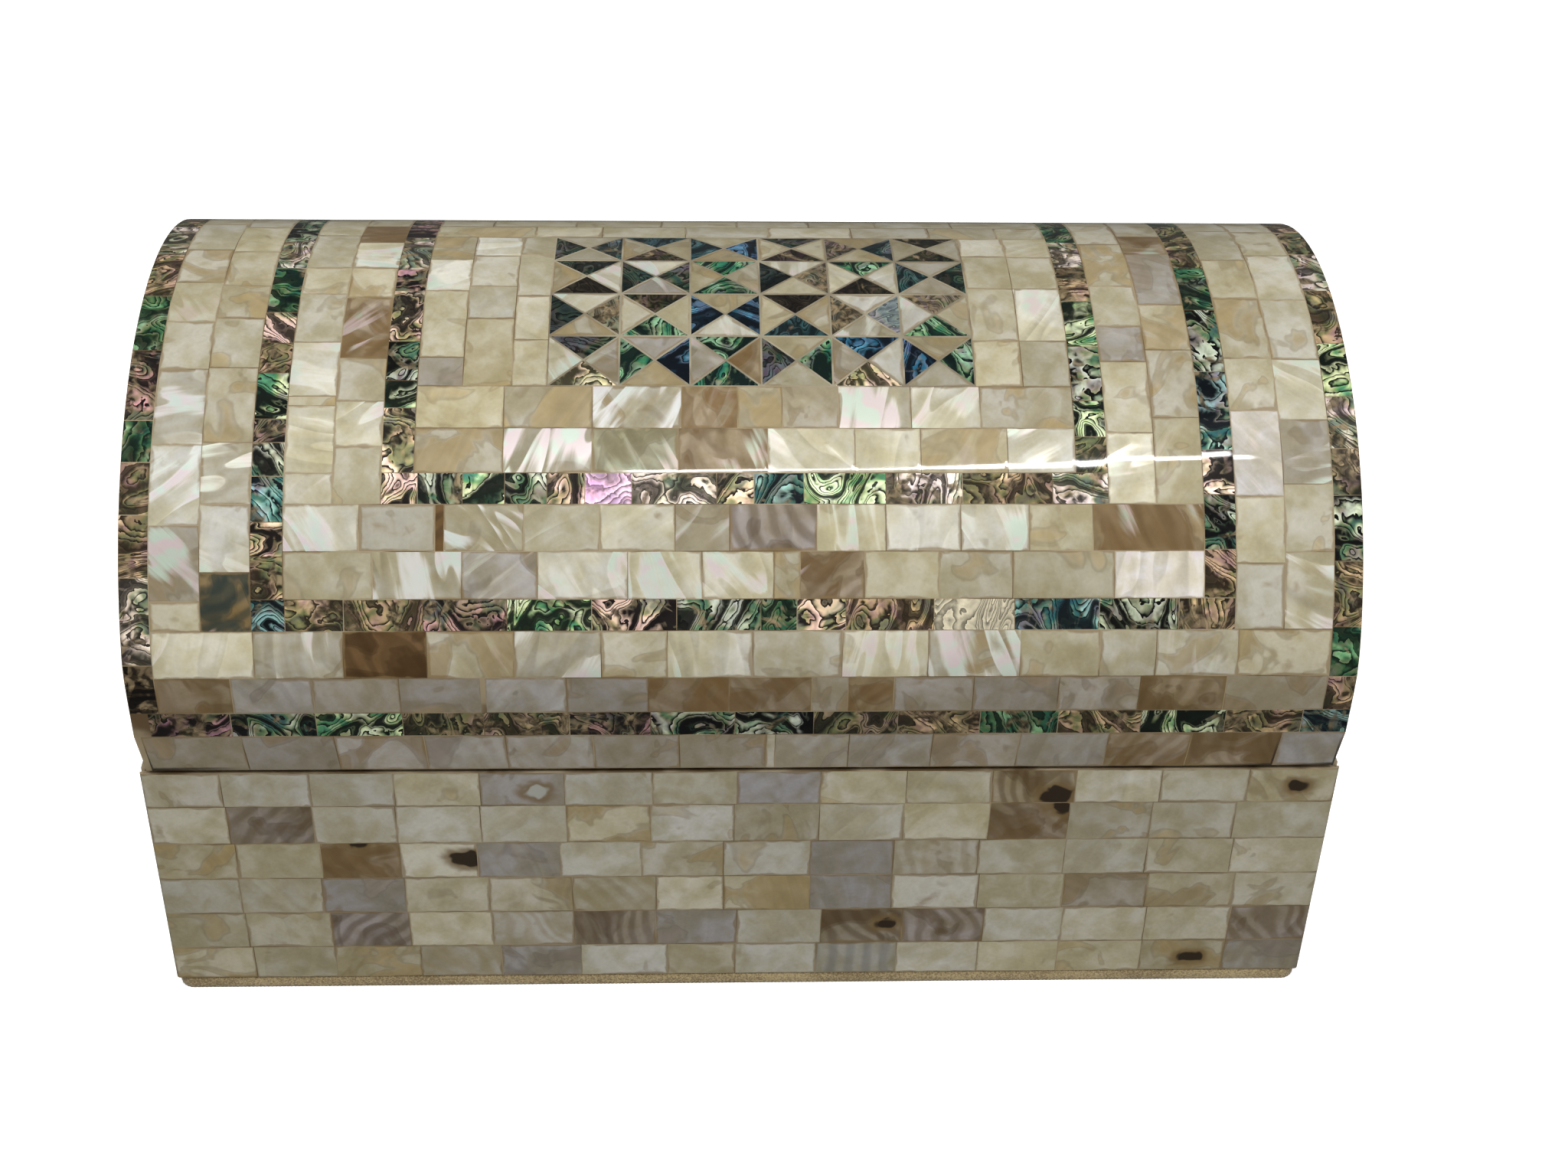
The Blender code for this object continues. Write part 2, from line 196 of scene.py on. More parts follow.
# %% A socket that can be reckoned with
class Wire:
    """An output socket in a material. Arithmetic on it adds Math nodes."""

    def __init__(self, tree, socket=None):
        self.tree = tree
        self.socket = socket

    def node(self, kind, settings=None, sockets=None, out=0):
        """Adds a node: its settings first, then the values or links of its sockets."""
        node = self.tree.nodes.new("ShaderNode" + kind)
        for name, value in (settings or {}).items():
            if name == "stops":
                self.set_stops(node.color_ramp.elements, value)
            else:
                setattr(node, name, value)
        for name, value in (sockets or {}).items():
            if isinstance(value, Wire):
                self.tree.links.new(value.socket, node.inputs[name])
            else:
                node.inputs[name].default_value = value
        return Wire(self.tree, node.outputs[out])

    def set_stops(self, elements, stops):
        """A colour ramp's stops. It starts with two, so only the rest are added."""
        for number, (place, colour) in enumerate(stops):
            element = elements[number] if number < 2 else elements.new(place)
            element.position = place
            element.color = colour

    def math(self, operation, first, second):
        return self.node("Math", {"operation": operation}, {0: first, 1: second})

    def __add__(self, other):
        return self.math("ADD", self, other)

    def __radd__(self, other):
        return self.math("ADD", other, self)

    def __sub__(self, other):
        return self.math("SUBTRACT", self, other)

    def __rsub__(self, other):
        return self.math("SUBTRACT", other, self)

    def __mul__(self, other):
        return self.math("MULTIPLY", self, other)

    def __rmul__(self, other):
        return self.math("MULTIPLY", other, self)


def ease(wire, low, high):
    """0 below low, 1 above high, and a soft step between."""
    return wire.node(
        "MapRange", {"interpolation_type": "SMOOTHSTEP"},
        {"Value": wire, "From Min": low, "From Max": high})


def tint(first, second, share):
    """A colour between two others. The share is a wire."""
    return share.node("Mix", {"data_type": "RGBA"}, {0: share, 6: first, 7: second}, out=2)


def vector_math(operation, first, second):
    """Arithmetic on two places or colours, of which the first is a wire."""
    return first.node("VectorMath", {"operation": operation}, {0: first, 1: second})


def shade(colour, share):
    """A colour made lighter or darker. One of the two is a wire."""
    wire = share if isinstance(share, Wire) else colour
    return wire.node("VectorMath", {"operation": "SCALE"}, {0: colour, "Scale": share})


def noise(place, scale, detail=2.0, distortion=0.0):
    return place.node(
        "TexNoise", {}, {"Vector": place, "Scale": scale, "Detail": detail, "Distortion": distortion})


def stretched(place, x, y):
    """A place drawn out, for streaks."""
    return vector_math("MULTIPLY", place, (x, y, 1.0))


def contours(wire, count):
    """Lines of equal height through a noise: 0 on a line, 1 half way to the next."""
    return wire.math("PINGPONG", wire * count, 0.5) * 2.0


print("shader helpers ready")

# %% [markdown]
# ## Facts that each tile carries
# Every tile was sawn from another shell, so its pattern must break at its joints. Each face carries
# a few facts as attributes: where its piece was cut, its three colours, how much stain, glint and
# banding it has, and a dark knot if it has one. One material then serves hundreds of tiles.

# %% Reading a tile's facts
def read_fact(start, name):
    return start.node("Attribute", {"attribute_name": name}, out="Vector")


def part_of(vector, axis):
    return vector.node("SeparateXYZ", {}, {0: vector}, out=axis)


def shell_place(start):
    """Where a point lies in the shell that its tile was cut from."""
    sheet = start.node("UVMap", {"uv_map": "sheet"})
    cut = read_fact(start, "cut")
    turned = start.node(
        "VectorRotate", {"rotation_type": "Z_AXIS"}, {"Vector": sheet, "Angle": part_of(cut, "Z")})
    return vector_math("ADD", turned, cut)


def new_material(name):
    """An empty material, its shader, and a first wire to build from."""
    material = bpy.data.materials.new(name)
    material.use_nodes = True
    shader = material.node_tree.nodes["Principled BSDF"]
    return material, shader, Wire(material.node_tree)


def plug(shader, **wires):
    for name, wire in wires.items():
        shader.id_data.links.new(wire.socket, shader.inputs[name.replace("_", " ")])


def lacquer(shader, weight, roughness):
    """The clear gloss coat over all the shell."""
    shader.inputs["Coat Weight"].default_value = weight
    shader.inputs["Coat Roughness"].default_value = roughness


def relief(start, height, strength, distance):
    return start.node(
        "Bump", {}, {"Height": height, "Strength": strength, "Distance": distance}, out="Normal")


print("a tile's facts: cut, share, body, stain, glow, knot")

# %% [markdown]
# ## Ivory shell
# A few tiles have a dark growth with an ochre rim. It is an oval whose edge is made ragged by noise.
# A radius below nothing stands for a pale growth with a tan line round it.

# %% Knots
KNOT_BLACK = (0.022, 0.014, 0.008, 1)
KNOT_PALE = (0.38, 0.385, 0.34, 1)
KNOT_RIM = (0.17, 0.11, 0.045, 1)


def draw_knot(colour, start):
    """The colour with the tile's knot drawn over it."""
    sheet = start.node("UVMap", {"uv_map": "sheet"})
    knot = read_fact(start, "knot")
    middle = start.node("CombineXYZ", {}, {0: part_of(knot, "X"), 1: part_of(knot, "Y")})
    oval = vector_math("MULTIPLY", vector_math("SUBTRACT", sheet, middle), (0.7, 1.0, 0.0))
    reach = oval.node("VectorMath", {"operation": "LENGTH"}, {0: oval}, out="Value")
    radius = part_of(knot, "Z")
    ragged = reach + (noise(sheet, 240, 1, 0.6) - 0.5) * 0.0034
    size = start.math("ABSOLUTE", radius, 0)
    inside = 1.0 - ease(ragged - size, -0.0005, 0.0002)
    around = 1.0 - ease(ragged - size, 0.0001, 0.0022)
    has_knot = ease(size, 0.0, 0.0002)
    core = tint(KNOT_PALE, KNOT_BLACK, ease(radius, 0.0, 0.0001))
    colour = tint(colour, KNOT_RIM, around * has_knot * 0.8)
    return tint(colour, core, inside * has_knot * 0.96)


print("knot rim:", KNOT_RIM[:3])

# %% [markdown]
# Mother of pearl is layered, so it shows soft clouds, tan stains with one crisp edge, and silvery
# streaks where a layer tips towards the light. The streaks are painted highlights in the base colour,
# with some metal in them, because nacre mirrors the lamp with its own colour. The brightening along
# its satin folds is partly the shell's own layering and partly painted sheen. The lacquer over it
# stays smooth.

# %% Ivory material
WARM = (0.99, 0.93, 0.80)
COOL = (1.05, 1.05, 1.15)
SEEPED_RESIN = (0.20, 0.135, 0.055, 1)
ROSE = (0.86, 0.62, 0.68, 1)
LEAF = (0.60, 0.84, 0.66, 1)


def make_ivory():
    material, shader, start = new_material("ivory_shell")
    place = shell_place(start)
    share = read_fact(start, "share")
    glinting = part_of(share, "Y")
    rim = start.node("Attribute", {"attribute_name": "rim"}, out="Fac")
    cloud = noise(place, 62, 3, 0.6)
    grain = noise(place, 1300, 1)
    wisps = noise(stretched(place, 260, 34), 1.0, 3, 1.0)
    satin = noise(stretched(place, 88, 26), 1.0, 1.0, 0.5)
    patch = noise(place, 72, 2.5, 0.8)
    blob = noise(place, 74, 0.0, 0.5)
    blotch = noise(place, 210, 3, 0.4)
    layer = start.math("FRACT", satin * 5.0 + wisps * 0.35, 0)
    fold = ease(layer, 0.0, 0.85) * (1.0 - ease(layer, 0.9, 1.0))
    milk = ease(cloud * 0.6 + blotch * 0.4, 0.38, 0.62)
    body = read_fact(start, "body")
    warm = vector_math("MULTIPLY", body, WARM)
    cool = vector_math("MULTIPLY", body, COOL)
    # Partly the shell's own streaks and folds, partly painted sheen that grows with the tile's glint
    # share.
    streaks_and_painted_sheen = ease(wisps, 0.3, 0.7) * (glinting * 0.4 + 0.03) + fold * (glinting * 0.8 + 0.03)
    cloudy = ease(blotch, 0.3, 0.7) * 0.12 + ease(cloud, 0.35, 0.65) * 0.20
    tone = grain * 0.16 + streaks_and_painted_sheen + cloudy + 0.66
    colour = shade(tint(warm, cool, milk), tone)
    stain_colour = read_fact(start, "stain")
    edge = patch + part_of(share, "X")
    stain = ease(edge, 0.98, 1.05)
    outline = ease(edge, 0.96, 0.99) * (1.0 - ease(edge, 0.99, 1.03))
    colour = tint(colour, shade(stain_colour, wisps * 0.9 + blotch * 0.6 + 0.45), stain * 0.75)
    colour = tint(colour, shade(stain_colour, 0.7), outline * 0.4)
    growth = part_of(place, "X") * 230 + noise(place, 42, 1.0, 0.6) * 4.5
    band = ease(contours(growth, 1.0), 0.2, 0.8) * part_of(share, "Z")
    colour = tint(colour, shade(stain_colour, wisps * 0.8 + 0.7), band * 0.65)
    seep = ease(rim * 0.36 + cloud * 1.1 + blotch * 0.7, 1.08, 1.32)
    colour = tint(colour, SEEPED_RESIN, seep * 0.7)
    colour = draw_knot(colour, start)
    # Painted highlight: the glint puts a bright, rainbow-tinted colour into the base colour where a layer
    # would mirror the lamp.
    sheen = ease(fold * 0.32 + blob * 0.85 + wisps * 0.7 + glinting, 1.22, 1.50)
    glint = sheen * ease(glinting, 0.03, 0.12)
    rainbow = tint(ROSE, LEAF, ease(noise(place, 210, 1), 0.42, 0.58))
    shine = tint(read_fact(start, "glow"), rainbow, ease(blob, 0.45, 0.7) * 0.5)
    colour = tint(colour, shine, glint * 0.88)
    bump = relief(start, satin + cloud * 0.5, 0.25, 0.0006)
    plug(shader, Base_Color=colour, Roughness=0.42 - glint * 0.12, Metallic=glint * 0.35 + 0.03,
         Normal=bump)
    shader.inputs["Specular IOR Level"].default_value = 0.3
    lacquer(shader, 0.9, 0.04)
    return material


IVORY = make_ivory()
print(IVORY.name, "nodes:", len(IVORY.node_tree.nodes))

# %% [markdown]
# ## Abalone shell
# Abalone grows in thin coloured layers with black ones between. Where a tile cuts through them at a
# slant, they show as contour lines, so the pattern is drawn with lines of equal height through a
# warped noise. The hue drifts with a second noise, as it does in the shell.

# %% Abalone material
HUES = (
    (0.30, (0.015, 0.12, 0.17, 1)), (0.39, (0.03, 0.22, 0.13, 1)), (0.46, (0.18, 0.34, 0.10, 1)),
    (0.52, (0.56, 0.45, 0.22, 1)), (0.58, (0.70, 0.46, 0.38, 1)), (0.68, (0.50, 0.24, 0.44, 1)))
CRUST = (0.20, 0.15, 0.085)


def make_abalone(name, coarse=1.0):
    material, shader, start = new_material(name)
    place = shell_place(start)
    share = read_fact(start, "share")
    hills = noise(stretched(place, 1.0, 0.55), 66 * coarse, 1.5, 1.2)
    wrinkle = noise(place, 330 * coarse, 2.0, 0.8)
    height = hills + wrinkle * 0.07
    layer = start.math("FRACT", height * 20.0, 0)
    line = 1.0 - ease(layer, 0.12, 0.42)
    broad = 1.0 - ease(contours(height, 4.0), 0.14, 0.6)
    blend = noise(place, 105 * coarse, 1.5, 1.0)
    hue = start.node("ValToRGB", {"stops": HUES}, {0: blend + layer * 0.12 - 0.06})
    hue_share = part_of(share, "Y")
    bright = ease(blend + noise(place, 150 * coarse, 1.0, 1.0) + hue_share, 1.11, 1.40)
    crust_part = ease(noise(place, 120 * coarse, 3.0, 1.4) + part_of(share, "X"), 0.92, 1.02)
    colour = tint(read_fact(start, "body"), hue, hue_share * 1.3)
    colour = tint(colour, tint(read_fact(start, "glow"), hue, hue_share), bright)
    colour = shade(colour, layer * 1.4 + wrinkle * 0.7 + 0.05)
    crust = shade(CRUST, ease(wrinkle, 0.35, 0.65) * 1.4 + 0.15)
    colour = tint(colour, crust, crust_part * 0.9)
    dark = start.math("MAXIMUM", line, broad) * part_of(share, "Z")
    colour = tint(colour, read_fact(start, "stain"), dark * (1.0 - crust_part * 0.6))
    bump = relief(start, layer * 0.3 + wrinkle * 0.25, 0.35, 0.0006)
    plug(shader, Base_Color=colour, Roughness=0.42 - bright * 0.1, Metallic=bright * 0.3 + 0.1,
         Normal=bump)
    shader.inputs["Specular IOR Level"].default_value = 0.25
    lacquer(shader, 1.0, 0.04)
    return material


ABALONE = make_abalone("abalone_shell", coarse=1.2)
PANEL_SHELL = make_abalone("panel_abalone", coarse=1.3)
print(ABALONE.name, "nodes:", len(ABALONE.node_tree.nodes))

# %% [markdown]
# ## Resin
# The joints are filled with tan resin that has darkened unevenly. It follows the object's own
# coordinates, since it was poured as one.

# %% Resin material
def make_resin(name, dark, light):
    material, shader, start = new_material(name)
    place = start.node("TexCoord", out="Object")
    dirt = ease(noise(place, 60, 3, 0.5), 0.38, 0.62)
    colour = tint(dark, light, dirt)
    plug(shader, Base_Color=colour, Roughness=dirt * 0.1 + 0.4)
    lacquer(shader, 0.7, 0.08)
    return material


RESIN = make_resin("joint_resin", (0.11, 0.072, 0.034, 1), (0.32, 0.255, 0.16, 1))
PANEL_RESIN = make_resin("panel_resin", (0.19, 0.16, 0.11, 1), (0.32, 0.285, 0.205, 1))
IVORY_PIECE = ([IVORY, RESIN], "ivory_shell")
ABALONE_PIECE = ([ABALONE, RESIN], "abalone_shell")
print(RESIN.name, "nodes:", len(RESIN.node_tree.nodes))

# %% [markdown]
# ## How the tiles look
# A letter names each kind of tile. Its look gives a body, a stain and a glow colour, then the shares
# of stain, glint and banding. The letters are used in the plans of the rows further down.

# %% The looks of ivory and abalone tiles
IVORY_LOOKS = {
    "": ((0.42, 0.395, 0.285), (0.29, 0.23, 0.125), (0.68, 0.67, 0.58), (0.36, 0.03, 0.0)),
    "w": ((0.47, 0.455, 0.355), (0.36, 0.30, 0.18), (0.88, 0.88, 0.80), (0.30, 0.21, 0.0)),
    "g": ((0.36, 0.34, 0.25), (0.22, 0.16, 0.075), (0.94, 0.94, 0.89), (0.38, 0.27, 0.25)),
    "c": ((0.47, 0.45, 0.345), (0.32, 0.255, 0.145), (0.70, 0.69, 0.60), (0.30, 0.03, 0.0)),
    "t": ((0.41, 0.38, 0.27), (0.26, 0.195, 0.09), (0.62, 0.60, 0.49), (0.48, 0.03, 0.0)),
    "h": ((0.31, 0.285, 0.225), (0.21, 0.155, 0.085), (0.46, 0.45, 0.39), (0.42, 0.02, 0.15)),
    "y": ((0.31, 0.29, 0.235), (0.20, 0.155, 0.09), (0.62, 0.61, 0.54), (0.42, 0.12, 0.20)),
    "l": ((0.305, 0.290, 0.248), (0.20, 0.165, 0.125), (0.46, 0.44, 0.41), (0.40, 0.07, 0.35)),
    "m": ((0.29, 0.255, 0.205), (0.10, 0.068, 0.036), (0.54, 0.51, 0.44), (0.46, 0.12, 0.80)),
    "n": ((0.28, 0.225, 0.14), (0.115, 0.066, 0.023), (0.50, 0.44, 0.33), (0.50, 0.08, 0.55)),
    "d": ((0.135, 0.080, 0.033), (0.045, 0.023, 0.008), (0.24, 0.165, 0.085), (0.46, 0.00, 0.70)),
    "k": ((0.29, 0.25, 0.17), (0.090, 0.052, 0.020), (0.48, 0.43, 0.32), (0.50, 0.04, 0.80)),
    "s": ((0.41, 0.385, 0.29), (0.25, 0.185, 0.09), (0.64, 0.63, 0.54), (0.34, 0.06, 0.50)),
    "b": ((0.38, 0.37, 0.31), (0.16, 0.165, 0.16), (0.60, 0.61, 0.55), (0.28, 0.06, 0.70)),
    "e": ((0.31, 0.30, 0.20), (0.16, 0.14, 0.08), (0.50, 0.52, 0.38), (0.44, 0.14, 0.60)),
    "p": ((0.56, 0.54, 0.48), (0.44, 0.35, 0.30), (1.00, 0.93, 0.95), (0.24, 0.24, 0.10)),
    "z": ((0.17, 0.125, 0.06), (0.016, 0.030, 0.026), (0.34, 0.26, 0.14), (0.46, 0.12, 0.90)),
}
ABALONE_LOOKS = {
    "o": ((0.105, 0.085, 0.042), (0.010, 0.009, 0.006), (0.36, 0.30, 0.15), (0.40, 0.12, 0.9)),
    "n": ((0.135, 0.088, 0.045), (0.016, 0.010, 0.007), (0.58, 0.42, 0.22), (0.40, 0.16, 0.9)),
    "p": ((0.24, 0.16, 0.10), (0.012, 0.009, 0.008), (0.98, 0.72, 0.52), (0.34, 0.26, 1.0)),
    "q": ((0.62, 0.24, 0.46), (0.10, 0.06, 0.05), (1.00, 0.56, 0.90), (0.20, 0.34, 0.5)),
    "g": ((0.07, 0.17, 0.07), (0.006, 0.010, 0.007), (0.66, 0.84, 0.46), (0.30, 0.24, 1.0)),
    "u": ((0.025, 0.075, 0.085), (0.004, 0.007, 0.010), (0.20, 0.44, 0.40), (0.36, 0.14, 1.0)),
    "k": ((0.050, 0.085, 0.058), (0.003, 0.003, 0.003), (0.46, 0.56, 0.40), (0.34, 0.16, 1.0)),
    "e": ((0.022, 0.070, 0.034), (0.003, 0.007, 0.005), (0.16, 0.40, 0.20), (0.36, 0.12, 0.9)),
    "y": ((0.15, 0.13, 0.095), (0.022, 0.018, 0.014), (0.78, 0.70, 0.58), (0.40, 0.20, 0.9)),
    "v": ((0.090, 0.055, 0.045), (0.008, 0.006, 0.006), (0.52, 0.28, 0.28), (0.40, 0.14, 1.0)),
    "x": ((0.030, 0.020, 0.011), (0.004, 0.003, 0.002), (0.12, 0.08, 0.04), (0.42, 0.00, 1.0)),
    "c": ((0.42, 0.37, 0.25), (0.050, 0.036, 0.018), (0.50, 0.45, 0.33), (0.00, 0.00, 0.20)),
}


def dimmed(look, light):
    """The same look with darker colours."""
    body, stain, glow, share = look
    return tuple([channel * light for channel in colour] for colour in (body, stain, glow)) + (share,)


DULL_GLINT = 0.02


def dulled(look):
    """The same look almost without glints, for tiles that face away from the lamp."""
    body, stain, glow, (stained, glinting, banded) = look
    return body, stain, glow, (stained, min(glinting, DULL_GLINT), banded)


# Painted shade: the lower rows of the lid turn away from the lamp, so they take a darker copy of the
# looks.
LOWER_PAINTED_SHADE = 0.92
SHADED_LOWER_LOOKS = {letter: dimmed(look, LOWER_PAINTED_SHADE) for letter, look in IVORY_LOOKS.items()}
DULL_LOOKS = {letter: dulled(look) for letter, look in IVORY_LOOKS.items()}
print("looks:", len(IVORY_LOOKS), "of ivory,", len(ABALONE_LOOKS), "of abalone")

# %% [markdown]
# ## Laying tiles
# A field is laid out flat first, as a maker would on a bench: X along the box, Y up the run. Each
# row starts as one edge, and the edge is extruded by the length of each tile in turn. A plan such
# as "20 18g 2r" gives lengths in millimetres, each with the letter of its look; r is bare resin.

# %% Rows of tiles on a flat sheet
DRAW = random.Random(11)
USUAL_TILE = 19.6 * MM
SHORTEST_TILE = 5.0 * MM
FACTS = ("cut", "share", "body", "stain", "glow", "knot")
RESIN_SLOT = 1
OTHER_SHELL_SLOT = 2


def new_sheet():
    sheet = bmesh.new()
    sheet.loops.layers.uv.new("sheet")
    sheet.verts.layers.float.new("rim")
    for fact in FACTS:
        sheet.faces.layers.float_vector.new(fact)
    return sheet


def vary(colour, spread):
    """A colour a little lighter or darker, and a little warmer or cooler."""
    light = DRAW.uniform(1 - spread, 1 + spread)
    warmth = DRAW.uniform(-0.045, 0.045)
    return [channel * light * (1 + warmth * way) for channel, way in zip(colour, (0.6, 0.2, -1.4))]


def give_look(sheet, face, look, grain):
    """Writes a tile's facts on its face. The grain is the turn of its growth lines."""
    body, stain, glow, share = look
    turn = grain + DRAW.uniform(-1.0, 1.0)
    facts = {
        "cut": (DRAW.uniform(1, 9), DRAW.uniform(1, 9), turn),
        "share": [max(0.0, part + DRAW.uniform(-0.04, 0.04)) for part in share],
        "body": vary(body, 0.13), "stain": vary(stain, 0.14), "glow": vary(glow, 0.06)}
    for fact, value in facts.items():
        face[sheet.faces.layers.float_vector[fact]] = value


def read_word(word):
    """The length and the letter of one tile in a plan."""
    letter = word.lstrip("0123456789.")
    return float(word[:len(word) - len(letter)]), letter


def read_plan(plan, span):
    """Lengths and letters of a row. What the plan leaves of the span is filled at random."""
    tiles = [[length * MM, letter] for length, letter in map(read_word, plan.split())]
    left = span - sum(length for length, _ in tiles)
    while left > USUAL_TILE * 1.35:
        length = USUAL_TILE * DRAW.uniform(0.82, 1.1)
        tiles.append([length, ""])
        left -= length
    if left > SHORTEST_TILE:
        tiles.append([left, ""])
    else:
        tiles[-1][0] += left
    return tiles


def grow(sheet, edges, step):
    """Extrudes edges by a step. Gives the new edges, points and faces."""
    grown = bmesh.ops.extrude_edge_only(sheet, edges=edges)["geom"]
    kinds = (bmesh.types.BMEdge, bmesh.types.BMVert, bmesh.types.BMFace)
    edges, verts, faces = [[item for item in grown if isinstance(item, kind)] for kind in kinds]
    bmesh.ops.translate(sheet, vec=step, verts=verts)
    return edges, verts, faces


def face_up(face):
    face.normal_update()
    if face.normal.z < 0:
        face.normal_flip()


def lay_row(sheet, low, high, plan, looks, up=False, usual=""):
    """Lays one row between two corners. A row that goes up runs along Y."""
    way = 1 if up else 0
    across = [Vector((low[0], low[1], 0)), Vector((low[0], low[1], 0))]
    across[1][1 - way] = high[1 - way]
    edges = [sheet.edges.new([sheet.verts.new(place) for place in across])]
    for length, letter in read_plan(plan, high[way] - low[way]):
        edges, _, faces = grow(sheet, edges, (0, length, 0) if up else (length, 0, 0))
        face_up(faces[0])
        faces[0].material_index = RESIN_SLOT if letter == "r" else 0
        if letter != "r":
            give_look(sheet, faces[0], looks[letter or usual], math.pi / 2 if up else 0)


def lay_rows(sheet, half, starts, plans, looks):
    """Full rows, one over the other, between the starts."""
    for low, high, plan in zip(starts, starts[1:], plans):
        lay_row(sheet, (-half, low), (half, high), plan, looks)


print("usual tile in mm:", round(USUAL_TILE / MM, 1))

# %% [markdown]
# Two insets turn each flat tile into a slab in its bed. The first opens the joint, which keeps the
# resin's finish, and the second lifts the tile with a soft edge, as the lacquer leaves it. Corners
# are then nudged and each tile is tipped by a hair, because a row set by hand is never quite true.
# A flat sheet can't bend between its points, so it is also cut across where it has to.

# %% Joints, edges and a hand-laid unevenness
JOINT = 0.09 * MM
TILE_EDGE = 0.9 * MM
TILE_RISE = 0.004 * MM
NARROW_ROOM = 2.4 * MM
SMALLEST_ROOM = 0.9 * MM
NUDGE = 0.10 * MM
TIP = 0.006 * MM
CUT_SNAP = 0.05 * MM
FINE_SNAP = 1e-7


def holds(face, spot):
    """Whether an oblong tile has a spot inside it."""
    arms = [vert.co - spot for vert in face.verts]
    return all(min(arm[axis] for arm in arms) <= 0 < max(arm[axis] for arm in arms) for axis in (0, 1))


def place_knots(sheet, knots):
    """Gives the tile at each place a knot: X, Y, radius. A negative radius makes it pale."""
    layer = sheet.faces.layers.float_vector["knot"]
    for x, y, radius in knots:
        spot = Vector((x, y, 0)) * MM
        tile = next(face for face in sheet.faces if holds(face, spot))
        tile[layer] = (*spot.xy, radius * MM)


def room_in(face):
    """How wide a face is, roughly: the width of the circle that fits in it."""
    return 4 * face.calc_area() / face.calc_perimeter() / 2


def set_tiles(sheet, joint=JOINT):
    """Opens the joints and lifts the tiles."""
    tiles = [face for face in sheet.faces if face.material_index != RESIN_SLOT]
    for chip in [face for face in tiles if room_in(face) < SMALLEST_ROOM]:
        chip.material_index = RESIN_SLOT
        tiles.remove(chip)
    joints = bmesh.ops.inset_individual(
        sheet, faces=tiles, thickness=joint, use_even_offset=True)["faces"]
    for face in joints:
        face.material_index = RESIN_SLOT
    narrow = [face for face in tiles if room_in(face) < NARROW_ROOM]
    wide = [face for face in tiles if face not in narrow]
    for faces, edge_width in ((wide, TILE_EDGE), (narrow, TILE_EDGE / 4)):
        bmesh.ops.inset_individual(
            sheet, faces=faces, thickness=edge_width, depth=TILE_RISE, use_even_offset=True)
    rim = sheet.verts.layers.float["rim"]
    for vert in sheet.verts:
        vert[rim] = 1.0
    for face in tiles:
        for vert in face.verts:
            vert[rim] = 0.0
        middle = face.calc_center_median()
        tip_x = DRAW.uniform(-TIP, TIP)
        tip_y = DRAW.uniform(-TIP, TIP)
        reach = max((vert.co - middle).length for vert in face.verts)
        for vert in face.verts:
            arm = vert.co - middle
            vert.co.z += (tip_x * arm.x + tip_y * arm.y) / reach
            vert.co.x += DRAW.uniform(-NUDGE, NUDGE)
            vert.co.y += DRAW.uniform(-NUDGE, NUDGE)


def cut(sheet, faces, place, axis, snap=FINE_SNAP):
    """Cuts some faces of a sheet along one line."""
    edges = {edge for face in faces for edge in face.edges}
    verts = {vert for face in faces for vert in face.verts}
    normal = [0, 0, 0]
    normal[axis] = 1
    bmesh.ops.bisect_plane(
        sheet, geom=[*verts, *edges, *faces], plane_co=[part * place for part in normal],
        plane_no=normal, dist=snap)


def cut_across(sheet, places, axis=1):
    """Cuts the whole sheet along lines, so that it can bend there."""
    for place in places:
        cut(sheet, sheet.faces[:], place, axis, CUT_SNAP)


def write_sheet_map(sheet):
    """Keeps the flat layout as the UV map, before the sheet is bent."""
    layer = sheet.loops.layers.uv["sheet"]
    for face in sheet.faces:
        for loop in face.loops:
            loop[layer].uv = loop.vert.co.xy


print("joint in mm:", 2 * JOINT / MM)

# %% [markdown]
# The flat field is then bent on to the box. Height above the sheet becomes distance out from the
# surface. A Solidify modifier gives every row its thickness, down to the wood, so each piece is a
# closed body that stands for one CAD node.

# %% Bending a sheet and making a piece of it
def bend_on_lid(sheet):
    for vert in sheet.verts:
        y, z = section(vert.co.y, TILE_RISE - vert.co.z)
        vert.co.y = y
        vert.co.z = z


def finish_piece(sheet, name, node, materials, slot, thickness=MOSAIC - 0.1 * MM):
    """Makes the piece, rides it on the box, and puts it in the place of its CAD node."""
    for edge in sheet.edges:
        edge.smooth = not edge.is_boundary
    for face in sheet.faces:
        face.smooth = True
    mesh = bpy.data.meshes.new(name)
    sheet.to_mesh(mesh)
    sheet.free()
    for material in materials:
        mesh.materials.append(material)
    piece = bpy.data.objects.new(name, mesh)
    scene.collection.objects.link(piece)
    if thickness:
        wall = piece.modifiers.new("Thickness", "SOLIDIFY")
        wall.thickness = thickness
        wall.offset = -1
    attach(piece, "root")
    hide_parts(node)
    print(name, "faces:", len(mesh.polygons))


def finish_on_lid(sheet, name, node, materials, slot, joint=JOINT):
    """Sets the tiles of a flat field, bends it over the lid, and makes the piece."""
    set_tiles(sheet, joint)
    cut_across(sheet, LID_BENDS)
    write_sheet_map(sheet)
    bend_on_lid(sheet)
    finish_piece(sheet, name, node, materials, slot)


BEND_EVERY = 5.3
LID_BENDS = [run * BEND_EVERY * MM for run in range(1, int(GIRTH / (BEND_EVERY * MM)))]

# %% [markdown]
# ## The fields of the lid
# The lid's mosaic is a set of nested frames. These are their edges, as runs up the front and as
# distances from the middle. The back repeats the front, so a run is also measured from behind.

